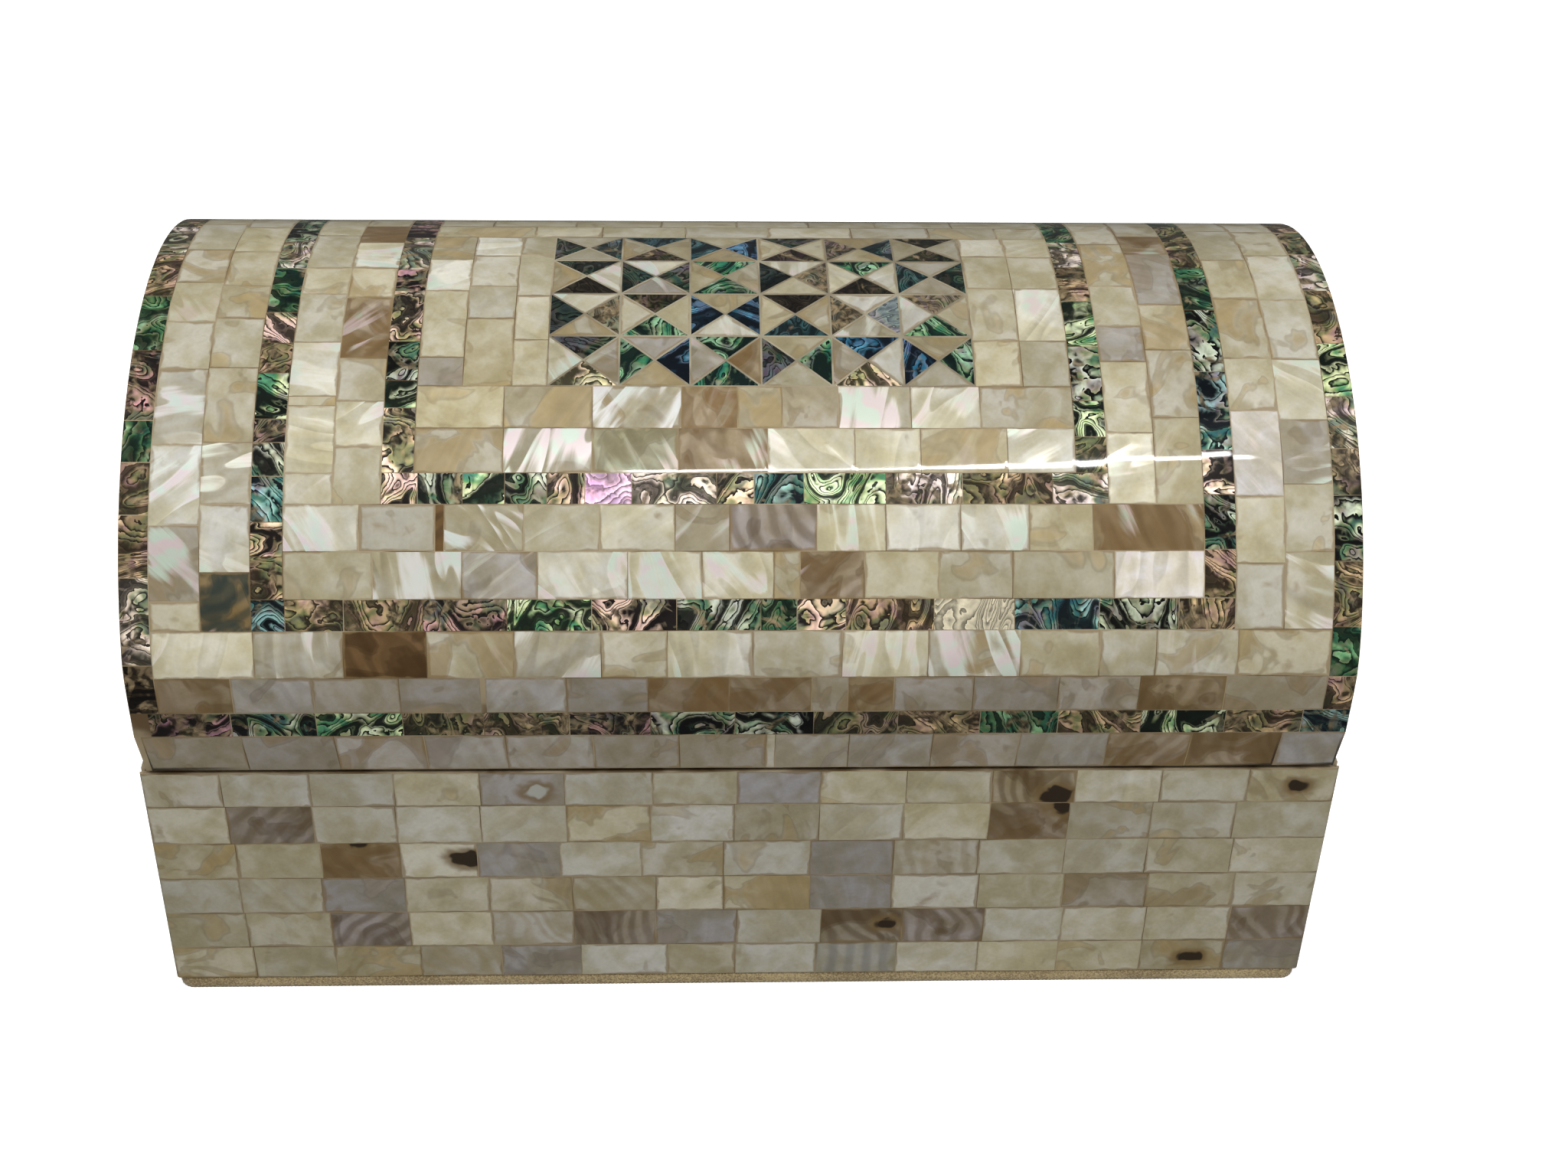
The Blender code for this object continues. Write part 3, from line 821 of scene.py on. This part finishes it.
# %% Edges of the lid's fields
STRIP_START = 10.0 * MM
FIELD_START = 16.7 * MM
ROW_C_START = 26.5 * MM
FRAME_START = 37.7 * MM
MIDDLE_START = 44.9 * MM
ROW_E_START = 55.6 * MM
INNER_FRAME_START = 66.2 * MM
INNER_START = 73.4 * MM
ROW_G_START = 84.05 * MM
PANEL_START = 94.7 * MM
PANEL_END = 151.7 * MM
FIELD_HALF = 132.9 * MM
COLUMN_2 = 121.7 * MM
FRAME_HALF = 110.5 * MM
MIDDLE_HALF = 103.3 * MM
COLUMN_4 = 92.5 * MM
INNER_FRAME_HALF = 81.7 * MM
INNER_HALF = 74.5 * MM
COLUMN_6 = 64.3 * MM
COLUMN_7 = 53.2 * MM
RIGHT_COLUMN = 63.5 * MM
PANEL_LEFT = -45.25 * MM
PANEL_RIGHT = 52.55 * MM


def behind(run):
    """The same place on the back of the lid."""
    return GIRTH - run


print("panel in mm:", round((PANEL_RIGHT - PANEL_LEFT) / MM, 1))

# %% [markdown]
# The outer ivory field has two full rows at the front and back. Between them, two columns stand at
# each end, with their tiles set upright. The plans follow the photo as far as it shows the lid.

# %% Outer ivory field
def make_field(name, half, rows, span, columns, rows_behind=()):
    """An ivory field: full rows, then upright columns over a span, then any rows behind them."""
    sheet = new_sheet()
    for starts, plans, looks in rows:
        lay_rows(sheet, half, starts, plans, looks)
    for left, right, plan in columns:
        lay_row(sheet, (left, span[0]), (right, span[1]), plan, IVORY_LOOKS, up=True)
    for starts, plans, looks in rows_behind:
        lay_rows(sheet, half, starts, plans, looks)
    finish_on_lid(sheet, f"ivory_tiles_{name}", f"lid_ivory_field_{name}", *IVORY_PIECE)


make_field(
    "outer", FIELD_HALF,
    [([FIELD_START, ROW_C_START],
      ["16.9n 18.2l 19.4h 18.3h 1r 18.3l 18.5h 18.3n 18.8n 8.3h 10.4n 18.2h 19.5h 18.6h 19.8n 23.3h"],
      DULL_LOOKS),
     ([ROW_C_START, FRAME_START],
      ["22.6w 19.9g 18.6d 19.6t 19.4g 14.9 19.2w 20.2 19.5w 20.9g 18.1 12.8 18.7 21.4t"],
      SHADED_LOWER_LOOKS),
     ([behind(FRAME_START), behind(ROW_C_START), behind(FIELD_START)], ["12", "19t"], IVORY_LOOKS)],
    (FRAME_START, behind(FRAME_START)),
    [(-FIELD_HALF, -COLUMN_2, "6.8 16.9y 18.5w 19.2g 14 14 15.6t"),
     (-COLUMN_2, -FRAME_HALF, "13.3z 15.2w 14.3g 19t 14.7 11.7t 15.6t"),
     (FRAME_HALF, COLUMN_2, "15.1 15.2 20.6p 14.1 19.4t 16.8"),
     (COLUMN_2, FIELD_HALF, "17.6g 15.5 15.5y 16w 19.3 19.9")])

# %% [markdown]
# The abalone frames are single bands, a row along the front and back and a column at each end.
# Their tiles are shorter and darker, and the last few places of a band are filled with whatever
# colour came to hand, so letters for the unseen part are drawn at random.

# %% Abalone frames
def random_plan(letters, span, usual=13.0):
    """A plan of random lengths and letters for a part that the photo doesn't show."""
    words = []
    left = span / MM
    while left > usual * 1.6:
        length = round(usual * DRAW.uniform(0.7, 1.35), 1)
        words.append(f"{length}{DRAW.choice(letters)}")
        left -= length
    words.append(f"{left:.3f}{DRAW.choice(letters)}")
    return " ".join(words)


def completed(plan, letters, span, usual=13.0):
    """A plan that follows the photo as far as it shows, with the rest of its span at random."""
    seen = sum(read_word(word)[0] for word in plan.split())
    return plan + " " + random_plan(letters, span - seen * MM, usual)


def make_frame(name, outer, inner, start, inner_start, front, left, right):
    """A band round the lid. Its front row and the sides' first tiles follow the photo."""
    sheet = new_sheet()
    lay_row(sheet, (-outer, start), (outer, inner_start), front, ABALONE_LOOKS)
    back = random_plan("onvyek", 2 * outer)
    lay_row(sheet, (-outer, behind(inner_start)), (outer, behind(start)), back, ABALONE_LOOKS)
    span = behind(inner_start) - inner_start
    for low, high, plan in ((-outer, -inner, left), (inner, outer, right)):
        plan = completed(plan, "oynvke", span)
        lay_row(sheet, (low, inner_start), (high, behind(inner_start)), plan, ABALONE_LOOKS, up=True)
    finish_on_lid(sheet, f"abalone_frame_{name}", f"lid_abalone_frame_{name}", *ABALONE_PIECE)


make_frame(
    "outer", FRAME_HALF, MIDDLE_HALF, FRAME_START, MIDDLE_START,
    "7.5u 13n 17.6n 18.7v 18.9g 19p 18.9k 8.1e 11p 19.9n 18.2c 19.2u 18.1k 12.9n",
    "9.6n 7.7p 10.4u 7.9k 5.7v 11.9g 8.5n 9.6p 17.2e 14.8y",
    "11n 12.5k 10.5p 20u 19k 17e 15n")
make_frame(
    "inner", INNER_FRAME_HALF, INNER_HALF, INNER_FRAME_START, INNER_START,
    "8.1p 10k 9.4g 9.4k 8.5p 10.5q 19y 8.4p 11.2u 18.5g 17.3y 20.4n 12.7y",
    "15.6p 7.1g 11k 16.9p 8.9v 18y",
    "8.6o 9g 15k 15g 14n 14y")

# %% [markdown]
# The middle field is like the outer one. The inner field has two rows in front of the panel, upright
# columns beside it, three on the left and two on the right, and rows behind it.

# %% Middle and inner ivory fields
make_field(
    "middle", MIDDLE_HALF,
    [([MIDDLE_START, ROW_E_START, INNER_FRAME_START],
      ["19.8 19.8g 16.9y 20.1w 16.6w 16.1w 5.9t 14.4n 16.9 16.6 23.1 20.4p",
       "16.8w 16.9 2d 17.7g 16.9 16.9w 12.2y 19.6m 15.5w 16.9w 15.5w 14.4 25.3n"],
      SHADED_LOWER_LOOKS),
     ([behind(INNER_FRAME_START), behind(ROW_E_START), behind(MIDDLE_START)], ["9", "20y"],
      IVORY_LOOKS)],
    (INNER_FRAME_START, behind(INNER_FRAME_START)),
    [(-MIDDLE_HALF, -COLUMN_4, "7.1 16.2w 2.5t 14.8w 16 10.7"),
     (-COLUMN_4, -INNER_FRAME_HALF, "13.4 11.1w 11.5t 19.2n 12.2t 13.8w 14n"),
     (INNER_FRAME_HALF, COLUMN_4, "16.8w 18.6 10.9y 14.3 21.1t"),
     (COLUMN_4, MIDDLE_HALF, "20.6 18.3t 14.6t 22.3l 12n")])

ROW_BEHIND = (behind(INNER_START) - PANEL_END) / 5
make_field(
    "inner", INNER_HALF,
    [([INNER_START, ROW_G_START, PANEL_START],
      ["19.8t 19.9g 19.4e 20.2n 19.7w 14.9w 19.7t 15.4w",
       "19.7 20t 20.1g 12.7n 10.2t 12.8y 16.5g 15.8w 21.2t"],
      IVORY_LOOKS)],
    (PANEL_START, PANEL_END),
    [(-INNER_HALF, -COLUMN_6, "7.8l 21.8 13.6w 13.8t"),
     (-COLUMN_6, -COLUMN_7, "19.7t 11.5 14 11.8w"),
     (-COLUMN_7, PANEL_LEFT, "13 14.7 18.3 11"),
     (PANEL_RIGHT, RIGHT_COLUMN, "13 17.8 14.7 11.5"),
     (RIGHT_COLUMN, INNER_HALF, "13 17.8w 14.5 11.7")],
    [([PANEL_END + ROW_BEHIND * number for number in range(6)], ["24", "13", "18t", "10", "21"],
      IVORY_LOOKS)])

# %% [markdown]
# ## The panel of triangles
# Six by four cells are each cut corner to corner into four triangles. Poking a face does exactly
# that. Light and dark triangles face each other, and the next cell swaps them, so that the dark ones
# join into stars. Strings name the dark triangles' looks in reading order, two for each cell.

# %% The star panel
PANEL_COLUMNS = 6
PANEL_ROWS = 4
PANEL_JOINT = 0.22 * MM
DARK_TRIANGLES = (
    "au ud ub ad vu dd",
    "ad aa gg at gd ua",
    "at dg bb du ty tg",
    "ap gb gg ag bp bg")
LIGHT_TRIANGLES = (
    "ii tt it ii tt ti",
    "tw wy tt wi ww ty",
    "wt ii tw tt wg wi",
    "wy yt yn ti yw ti")
PANEL_DARKS = {
    "a": ((0.016, 0.024, 0.022), (0.003, 0.004, 0.004), (0.06, 0.10, 0.09), (0.20, 0.04, 0.8)),
    "d": ((0.016, 0.013, 0.009), (0.004, 0.003, 0.003), (0.07, 0.055, 0.035), (0.36, 0.02, 0.6)),
    "g": ((0.018, 0.095, 0.050), (0.004, 0.012, 0.010), (0.20, 0.48, 0.25), (0.25, 0.13, 1.0)),
    "b": ((0.012, 0.075, 0.15), (0.003, 0.006, 0.010), (0.07, 0.28, 0.40), (0.22, 0.07, 1.0)),
    "u": ((0.020, 0.052, 0.058), (0.004, 0.008, 0.010), (0.08, 0.20, 0.20), (0.28, 0.05, 0.9)),
    "t": ((0.11, 0.10, 0.070), (0.025, 0.020, 0.014), (0.22, 0.20, 0.13), (0.48, 0.06, 0.7)),
    "v": ((0.085, 0.065, 0.055), (0.020, 0.014, 0.012), (0.18, 0.14, 0.12), (0.44, 0.05, 0.6)),
    "y": ((0.14, 0.16, 0.17), (0.06, 0.07, 0.08), (0.22, 0.25, 0.27), (0.25, 0.08, 0.3)),
    "p": ((0.46, 0.33, 0.16), (0.05, 0.045, 0.025), (0.98, 0.80, 0.50), (0.24, 0.34, 1.0)),
}
PANEL_LIGHT = 0.79
PANEL_LIGHTS = {letter or "i": dimmed(look, PANEL_LIGHT) for letter, look in IVORY_LOOKS.items()}


def quarter_of(face, centre):
    """Which pair of its cell's triangles one belongs to, and which of the two it is."""
    arm = face.calc_center_median() - centre
    if abs(arm.x) > abs(arm.y):
        return 0, int(arm.x > 0)
    return 1, int(arm.y < 0)


def make_panel():
    sheet = new_sheet()
    cell_x = (PANEL_RIGHT - PANEL_LEFT) / PANEL_COLUMNS
    cell_y = (PANEL_END - PANEL_START) / PANEL_ROWS
    bmesh.ops.create_grid(sheet, x_segments=PANEL_COLUMNS, y_segments=PANEL_ROWS, size=0.5)
    bmesh.ops.scale(
        sheet, vec=(PANEL_RIGHT - PANEL_LEFT, PANEL_END - PANEL_START, 1), verts=sheet.verts)
    middle = ((PANEL_LEFT + PANEL_RIGHT) / 2, (PANEL_START + PANEL_END) / 2, 0)
    bmesh.ops.translate(sheet, vec=middle, verts=sheet.verts)
    for cell in sheet.faces[:]:
        centre = cell.calc_center_median()
        column = int((centre.x - PANEL_LEFT) / cell_x)
        row = int((PANEL_END - centre.y) / cell_y)
        dark = DARK_TRIANGLES[row].split()[column]
        light = LIGHT_TRIANGLES[row].split()[column]
        for face in bmesh.ops.poke(sheet, faces=[cell])["faces"]:
            pair, number = quarter_of(face, centre)
            if pair == (row + column) % 2:
                give_look(sheet, face, PANEL_DARKS[dark[number]], 0)
                face.material_index = OTHER_SHELL_SLOT
            else:
                give_look(sheet, face, PANEL_LIGHTS[light[number]], 0)
    materials = [IVORY, PANEL_RESIN, PANEL_SHELL]
    finish_on_lid(sheet, "star_panel", "lid_star_panel", materials, "panel_shell", PANEL_JOINT)


make_panel()

# %% [markdown]
# ## The lid's lower rows and its edge bands
# An abalone strip runs along the lid near its foot with one ivory row under it. The lower corners
# are worn and filled with grey resin. The bands along the ends finish the barrel.

# %% Strip, bottom row and edge bands
WEAR = 1.5 * MM
WEAR_HEIGHT = 9.0 * MM


def rounding(radius, share):
    """How far a rounded edge draws in: nothing at a share of 0, its whole radius at 1."""
    return radius * (1 - math.sqrt(1 - min(max(share, 0.0), 1.0) ** 2))


def wear_at(height):
    """How far the lid's end has worn in, at a height over its lower edge."""
    return rounding(WEAR, 1 - height / WEAR_HEIGHT)


def turn_to_back(sheet):
    bmesh.ops.rotate(sheet, cent=(0, 0, 0), matrix=Matrix.Rotation(math.pi, 3, "Z"), verts=sheet.verts)


def make_lower_row(side, plan, name, low, high, looks, usual, kind):
    """A row on the lid's upright wall, at the front or turned to the back."""
    sheet = new_sheet()
    lay_row(sheet, (-LID_HALF, low), (LID_HALF, high), plan, looks, usual=usual)
    set_tiles(sheet)
    write_sheet_map(sheet)
    for vert in sheet.verts:
        vert.co.x *= 1 - wear_at(vert.co.y) / LID_HALF
    bend_on_lid(sheet)
    if side == "back":
        turn_to_back(sheet)
    finish_piece(sheet, f"{name}_{side}", f"lid_{name}_{side}", *kind)


# The third tile's bright green look is partly painted highlight: it stands where a lamp's glare lies on
# that tile.
STRIP_PLAN = "3.9r 18.5v 19.2k 19.6g 18.4o 19.5o 18.5v 19.3k 18.1k 19.3o 19n 18.1e 19.2n 19.6g 17.9n 10.9u"
BOTTOM_PLAN = "1.4r 22.6 21.1 20.5 18.6l 20.1 19.8 20.2 2t 17.1l 19.4l 20.2 20.8l 19.4n 21.1n 14.7l"
STRIP = ("abalone_strip", STRIP_START, FIELD_START, ABALONE_LOOKS, "o", ABALONE_PIECE)
BOTTOM = ("bottom_row", 0.0, STRIP_START, DULL_LOOKS, "h", IVORY_PIECE)
make_lower_row("front", STRIP_PLAN, *STRIP)
make_lower_row("back", random_plan("onvyek", 2 * LID_HALF, 19), *STRIP)
make_lower_row("front", BOTTOM_PLAN, *BOTTOM)
make_lower_row("back", "11y", *BOTTOM)


def make_edge_band(side, plan):
    """A band of upright tiles along one end of the lid. Its first tiles follow the photo."""
    sheet = new_sheet()
    low, high = (-LID_HALF, -FIELD_HALF) if side == "left" else (FIELD_HALF, LID_HALF)
    plan = completed(plan, "onyv", behind(FIELD_START) - FIELD_START, 15)
    lay_row(sheet, (low, FIELD_START), (high, behind(FIELD_START)), plan, ABALONE_LOOKS, up=True)
    finish_on_lid(sheet, f"abalone_edge_{side}", f"lid_abalone_edge_{side}", *ABALONE_PIECE)


make_edge_band("left", "13.1x 20y 14n 12n 10e 18.5v 17.5e 18n")
make_edge_band("right", "9.5n 12e 15n 15k 11o 13y 15g 18n 17y")

# %% [markdown]
# ## The base
# Six rows of ivory shell go round the base in running bond. The long plates cover the short ones at
# the corners, and their arrises are rounded, so the sheet is cut near its ends to let it bend there.

# %% Mosaic on the base
ARRIS = 1.0 * MM
ARRIS_CUTS = [HALF_LENGTH - ARRIS * share for share in (1.0, 0.6, 0.28, 0.08)]
BASE_ROW_EDGES = [0.0, 10.34, 21.72, 32.97, 44.15, 55.71]
BASE_STARTS = [edge * MM for edge in BASE_ROW_EDGES] + [BASE_HEIGHT]
FRONT_PLANS = (
    "20t 19.8 20.9t 19.8s 19.6l 21.3c 16.7t 20c 20b 20.3c 20c 21 20.9t 19.7l",
    "19.3 20.4 19m 20.1c 19.8s 20m 19.8l 20.7c 20k 20.1m 19.4c 20.7c 21c 19.7m",
    "19c 19.6 19.8l 20.1c 20.1t 20.2s 16.3c 21t 20l 21c 20.8c 20.5h 21.3t 20.3",
    "19.4t 19.9 18.7n 18.3c 19.6l 19.5c 19.6t 20.8c 20.1l 20.4s 20.9c 19.9c 20.7 22.2c",
    "18.6c 19.8m 19.5 19.8c 20.2c 19.9t 19.7c 20.2t 20c 20.5c 18.9n 19.8t 20.1 23c",
    "18.3t 20.5c 19.4c 19.9c 19.6l 20.6c 19.8 19.6l 20.2c 20.2c 19.8k 20.2c 20.7c 21.2t")
FRONT_KNOTS = (
    (-91.1, 43.9, 1.9), (-80.6, 35.2, 2.0), (-66.6, 38.9, 2.6), (-48.8, 60.0, -2.0), (73.7, 58.0, 2.8),
    (75.5, 54.0, 2.0), (130.8, 60.5, 1.7), (35.2, 16.5, 1.9), (111.5, 4.2, 2.1))
# Painted shade: the base's upright faces turn away from the lamp, so they take a slightly darker copy of
# the dull looks.
BASE_PAINTED_SHADE = 0.98
SHADED_BASE_LOOKS = {letter: dimmed(look, BASE_PAINTED_SHADE) for letter, look in DULL_LOOKS.items()}


def plain_plans(count):
    """Plans for sides that the photo doesn't show: shifted joints and a rare darker tile."""
    first = [DRAW.uniform(8, 20) for _ in range(count)]
    return [f"{length:.1f}{DRAW.choice(['', '', 't', 'y'])}" for length in first]


def make_base_plate(side, half, plans, knots=()):
    sheet = new_sheet()
    lay_rows(sheet, half, BASE_STARTS, plans, SHADED_BASE_LOOKS)
    place_knots(sheet, knots)
    set_tiles(sheet)
    is_long = side in ("front", "back")
    if is_long:
        cut_across(sheet, [place * way for place in ARRIS_CUTS for way in (-1, 1)], axis=0)
    write_sheet_map(sheet)
    for vert in sheet.verts:
        along, height, rise = vert.co
        inset = TILE_RISE - rise
        if is_long:
            inset += rounding(ARRIS, (abs(along) - HALF_LENGTH) / ARRIS + 1)
            vert.co = (along, -HALF_DEPTH + inset, SHELL_BOTTOM + height)
        else:
            vert.co = (HALF_LENGTH - inset, along, SHELL_BOTTOM + height)
    if side in ("back", "left"):
        turn_to_back(sheet)
    finish_piece(sheet, f"base_tiles_{side}", f"base_mosaic_{side}", *IVORY_PIECE)


make_base_plate("front", HALF_LENGTH, FRONT_PLANS, FRONT_KNOTS)
make_base_plate("back", HALF_LENGTH, plain_plans(6))
SHORT_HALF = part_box("base_mosaic_right")[1].y
make_base_plate("right", SHORT_HALF, plain_plans(6))
make_base_plate("left", SHORT_HALF, plain_plans(6))

# %% [markdown]
# ## The lid's ends
# Each end of the lid is an arch. It starts as one flat face with the arch's outline. Level cuts make
# its rows, upright cuts make the tiles, and the same insets as before set them in resin.

# %% Mosaic on the lid's ends
END_ROWS = [10.0 * MM, 16.7 * MM] + [(16.7 + 10.4 * k) * MM for k in range(1, 8)]
ARCH_STEPS = 40


def arch_outline():
    """The arch of the lid's end, inside the edge of its curved face, flat on X and Y."""
    inset = MOSAIC + SEAM
    foot = HALF_DEPTH - inset
    bends = [LID_WALL + (GIRTH - 2 * LID_WALL) * k / ARCH_STEPS for k in range(ARCH_STEPS + 1)]
    arch = [section(run, inset) for run in bends]
    return [(-foot, 0.0)] + [(y, z - LID_BOTTOM) for y, z in arch] + [(foot, 0.0)]


def make_lid_end(side):
    sheet = new_sheet()
    outline = [sheet.verts.new((y, z, 0)) for y, z in reversed(arch_outline())]
    arch = sheet.faces.new(outline)
    face_up(arch)
    for height in END_ROWS:
        cut(sheet, sheet.faces[:], height, axis=1)
    for low, high in zip([0.0] + END_ROWS, END_ROWS + [1.0]):
        place = -HALF_DEPTH + DRAW.uniform(8, 20) * MM
        while place < HALF_DEPTH:
            row = [f for f in sheet.faces if low < f.calc_center_median().y < high]
            cut(sheet, row, place, axis=0)
            place += USUAL_TILE * DRAW.uniform(0.9, 1.1)
    bmesh.ops.dissolve_degenerate(sheet, dist=0.5 * MM, edges=sheet.edges[:])
    bmesh.ops.split_edges(sheet, edges=sheet.edges[:])
    for face in sheet.faces:
        if END_ROWS[0] < face.calc_center_median().y < END_ROWS[1]:
            give_look(sheet, face, ABALONE_LOOKS[DRAW.choice("onvyk")], 0)
            face.material_index = OTHER_SHELL_SLOT
        else:
            give_look(sheet, face, IVORY_LOOKS[DRAW.choice(["", "", "", "t", "y"])], 0)
    set_tiles(sheet)
    write_sheet_map(sheet)
    for vert in sheet.verts:
        along, height, rise = vert.co
        inset = TILE_RISE - rise + wear_at(height)
        vert.co = (LID_HALF - inset, along, LID_BOTTOM + height)
    if side == "left":
        turn_to_back(sheet)
    materials = [IVORY, RESIN, ABALONE]
    finish_piece(sheet, f"lid_end_tiles_{side}", f"lid_end_mosaic_{side}", materials, "ivory_shell")


make_lid_end("right")
make_lid_end("left")

# %% [markdown]
# ## The foot board
# The board under the box is covered in gold cloth. A fine noise stands for its threads.

# %% Cloth material
def make_cloth():
    material, shader, start = new_material("gold_cloth")
    place = start.node("TexCoord", out="Object")
    thread = noise(place, 2600, 1)
    wear = noise(place, 45, 3)
    colour = tint((0.20, 0.145, 0.065, 1), (0.50, 0.39, 0.21, 1), ease(thread + wear * 0.5, 0.5, 1.0))
    bump = relief(start, thread, 0.6, 0.0002)
    plug(shader, Base_Color=colour, Roughness=thread * 0.2 + 0.6, Normal=bump)
    shader.inputs["Sheen Weight"].default_value = 0.3
    return material


CLOTH = make_cloth()
print(CLOTH.name, "nodes:", len(CLOTH.node_tree.nodes))

# %% [markdown]
# The cloth's fine upright ribs are real shapes. A circle's quarters are moved apart to the corners,
# the sides between them are cut into steps of half a rib, and every other point is drawn in a
# little. The outline then grows upwards, level by level.

# %% Ribbed foot
RIB_PITCH = 0.95 * MM
RIB_DEPTH = 0.10 * MM
FOOT_CORNER = 3.5 * MM
CORNER_POINTS = 12
FOOT_LEVELS = (
    (0, 0.4 * MM), (0.15 * MM, 0.1 * MM), (0.6 * MM, 0), (2.9 * MM, 0), (3.35 * MM, 0.1 * MM),
    (3.5 * MM, 0.4 * MM))


def draw_outline(sheet, half_x, half_y):
    """A rounded oblong in steps of half a rib."""
    half_step = math.pi / 4 / CORNER_POINTS
    bmesh.ops.create_circle(
        sheet, cap_ends=False, segments=4 * CORNER_POINTS, radius=FOOT_CORNER / math.cos(half_step),
        matrix=Matrix.Rotation(half_step, 4, "Z"))
    for vert in sheet.verts:
        vert.co.x += math.copysign(half_x - FOOT_CORNER, vert.co.x)
        vert.co.y += math.copysign(half_y - FOOT_CORNER, vert.co.y)
    for side in [edge for edge in sheet.edges if edge.calc_length() > RIB_PITCH]:
        steps = round(2 * side.calc_length() / RIB_PITCH)
        bmesh.ops.subdivide_edges(sheet, edges=[side], cuts=steps - 1)


def every_other_point(sheet):
    """Walks round the outline and picks every other point."""
    sheet.verts.ensure_lookup_table()
    point = sheet.verts[0]
    edge = point.link_edges[0]
    picked = []
    for number in range(len(sheet.verts)):
        if number % 2:
            picked.append(point)
        point = edge.other_vert(point)
        edge = next(other for other in point.link_edges if other != edge)
    return picked


def draw_in(sheet, half, verts, before, after):
    """Scales points of the outline from one inset to another."""
    scales = [(side - after) / (side - before) for side in half.xy]
    bmesh.ops.scale(sheet, vec=(*scales, 1), verts=verts)


def make_foot():
    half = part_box("foot_board")[1]
    sheet = bmesh.new()
    draw_outline(sheet, half.x, half.y)
    draw_in(sheet, half, every_other_point(sheet), 0, RIB_DEPTH)
    draw_in(sheet, half, sheet.verts, 0, FOOT_LEVELS[0][1])
    edges = bottom = sheet.edges[:]
    for (height, inset), (next_height, next_inset) in zip(FOOT_LEVELS, FOOT_LEVELS[1:]):
        edges, verts, _ = grow(sheet, edges, (0, 0, next_height - height))
        draw_in(sheet, half, verts, inset, next_inset)
    for rim in (bottom, edges):
        bmesh.ops.contextual_create(sheet, geom=rim)
    bmesh.ops.recalc_face_normals(sheet, faces=sheet.faces)
    finish_piece(sheet, "foot_cloth", "foot_board", [CLOTH], "gold_cloth", thickness=0)


make_foot()

# %% [markdown]
# ## The wood inside
# The carcasses keep their CAD shape and get a dark stained wood. Its grain runs along the box.

# %% Stained wood
def make_wood():
    material, shader, start = new_material("stained_wood")
    place = start.node("TexCoord", out="Object")
    grain = noise(stretched(place, 9, 160), 1.0, 4, 0.8)
    pores = noise(stretched(place, 60, 1500), 1.0, 2)
    colour = tint((0.035, 0.018, 0.009, 1), (0.13, 0.070, 0.034, 1), ease(grain, 0.3, 0.7))
    colour = shade(colour, pores * 0.6 + 0.7)
    bump = relief(start, pores, 0.4, 0.0003)
    plug(shader, Base_Color=colour, Roughness=pores * 0.25 + 0.4, Normal=bump)
    return material


WOOD = make_wood()
for node in ("base_carcass", "lid_carcass"):
    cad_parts[node].material_slots[0].material = WOOD
print(WOOD.name, "nodes:", len(WOOD.node_tree.nodes))
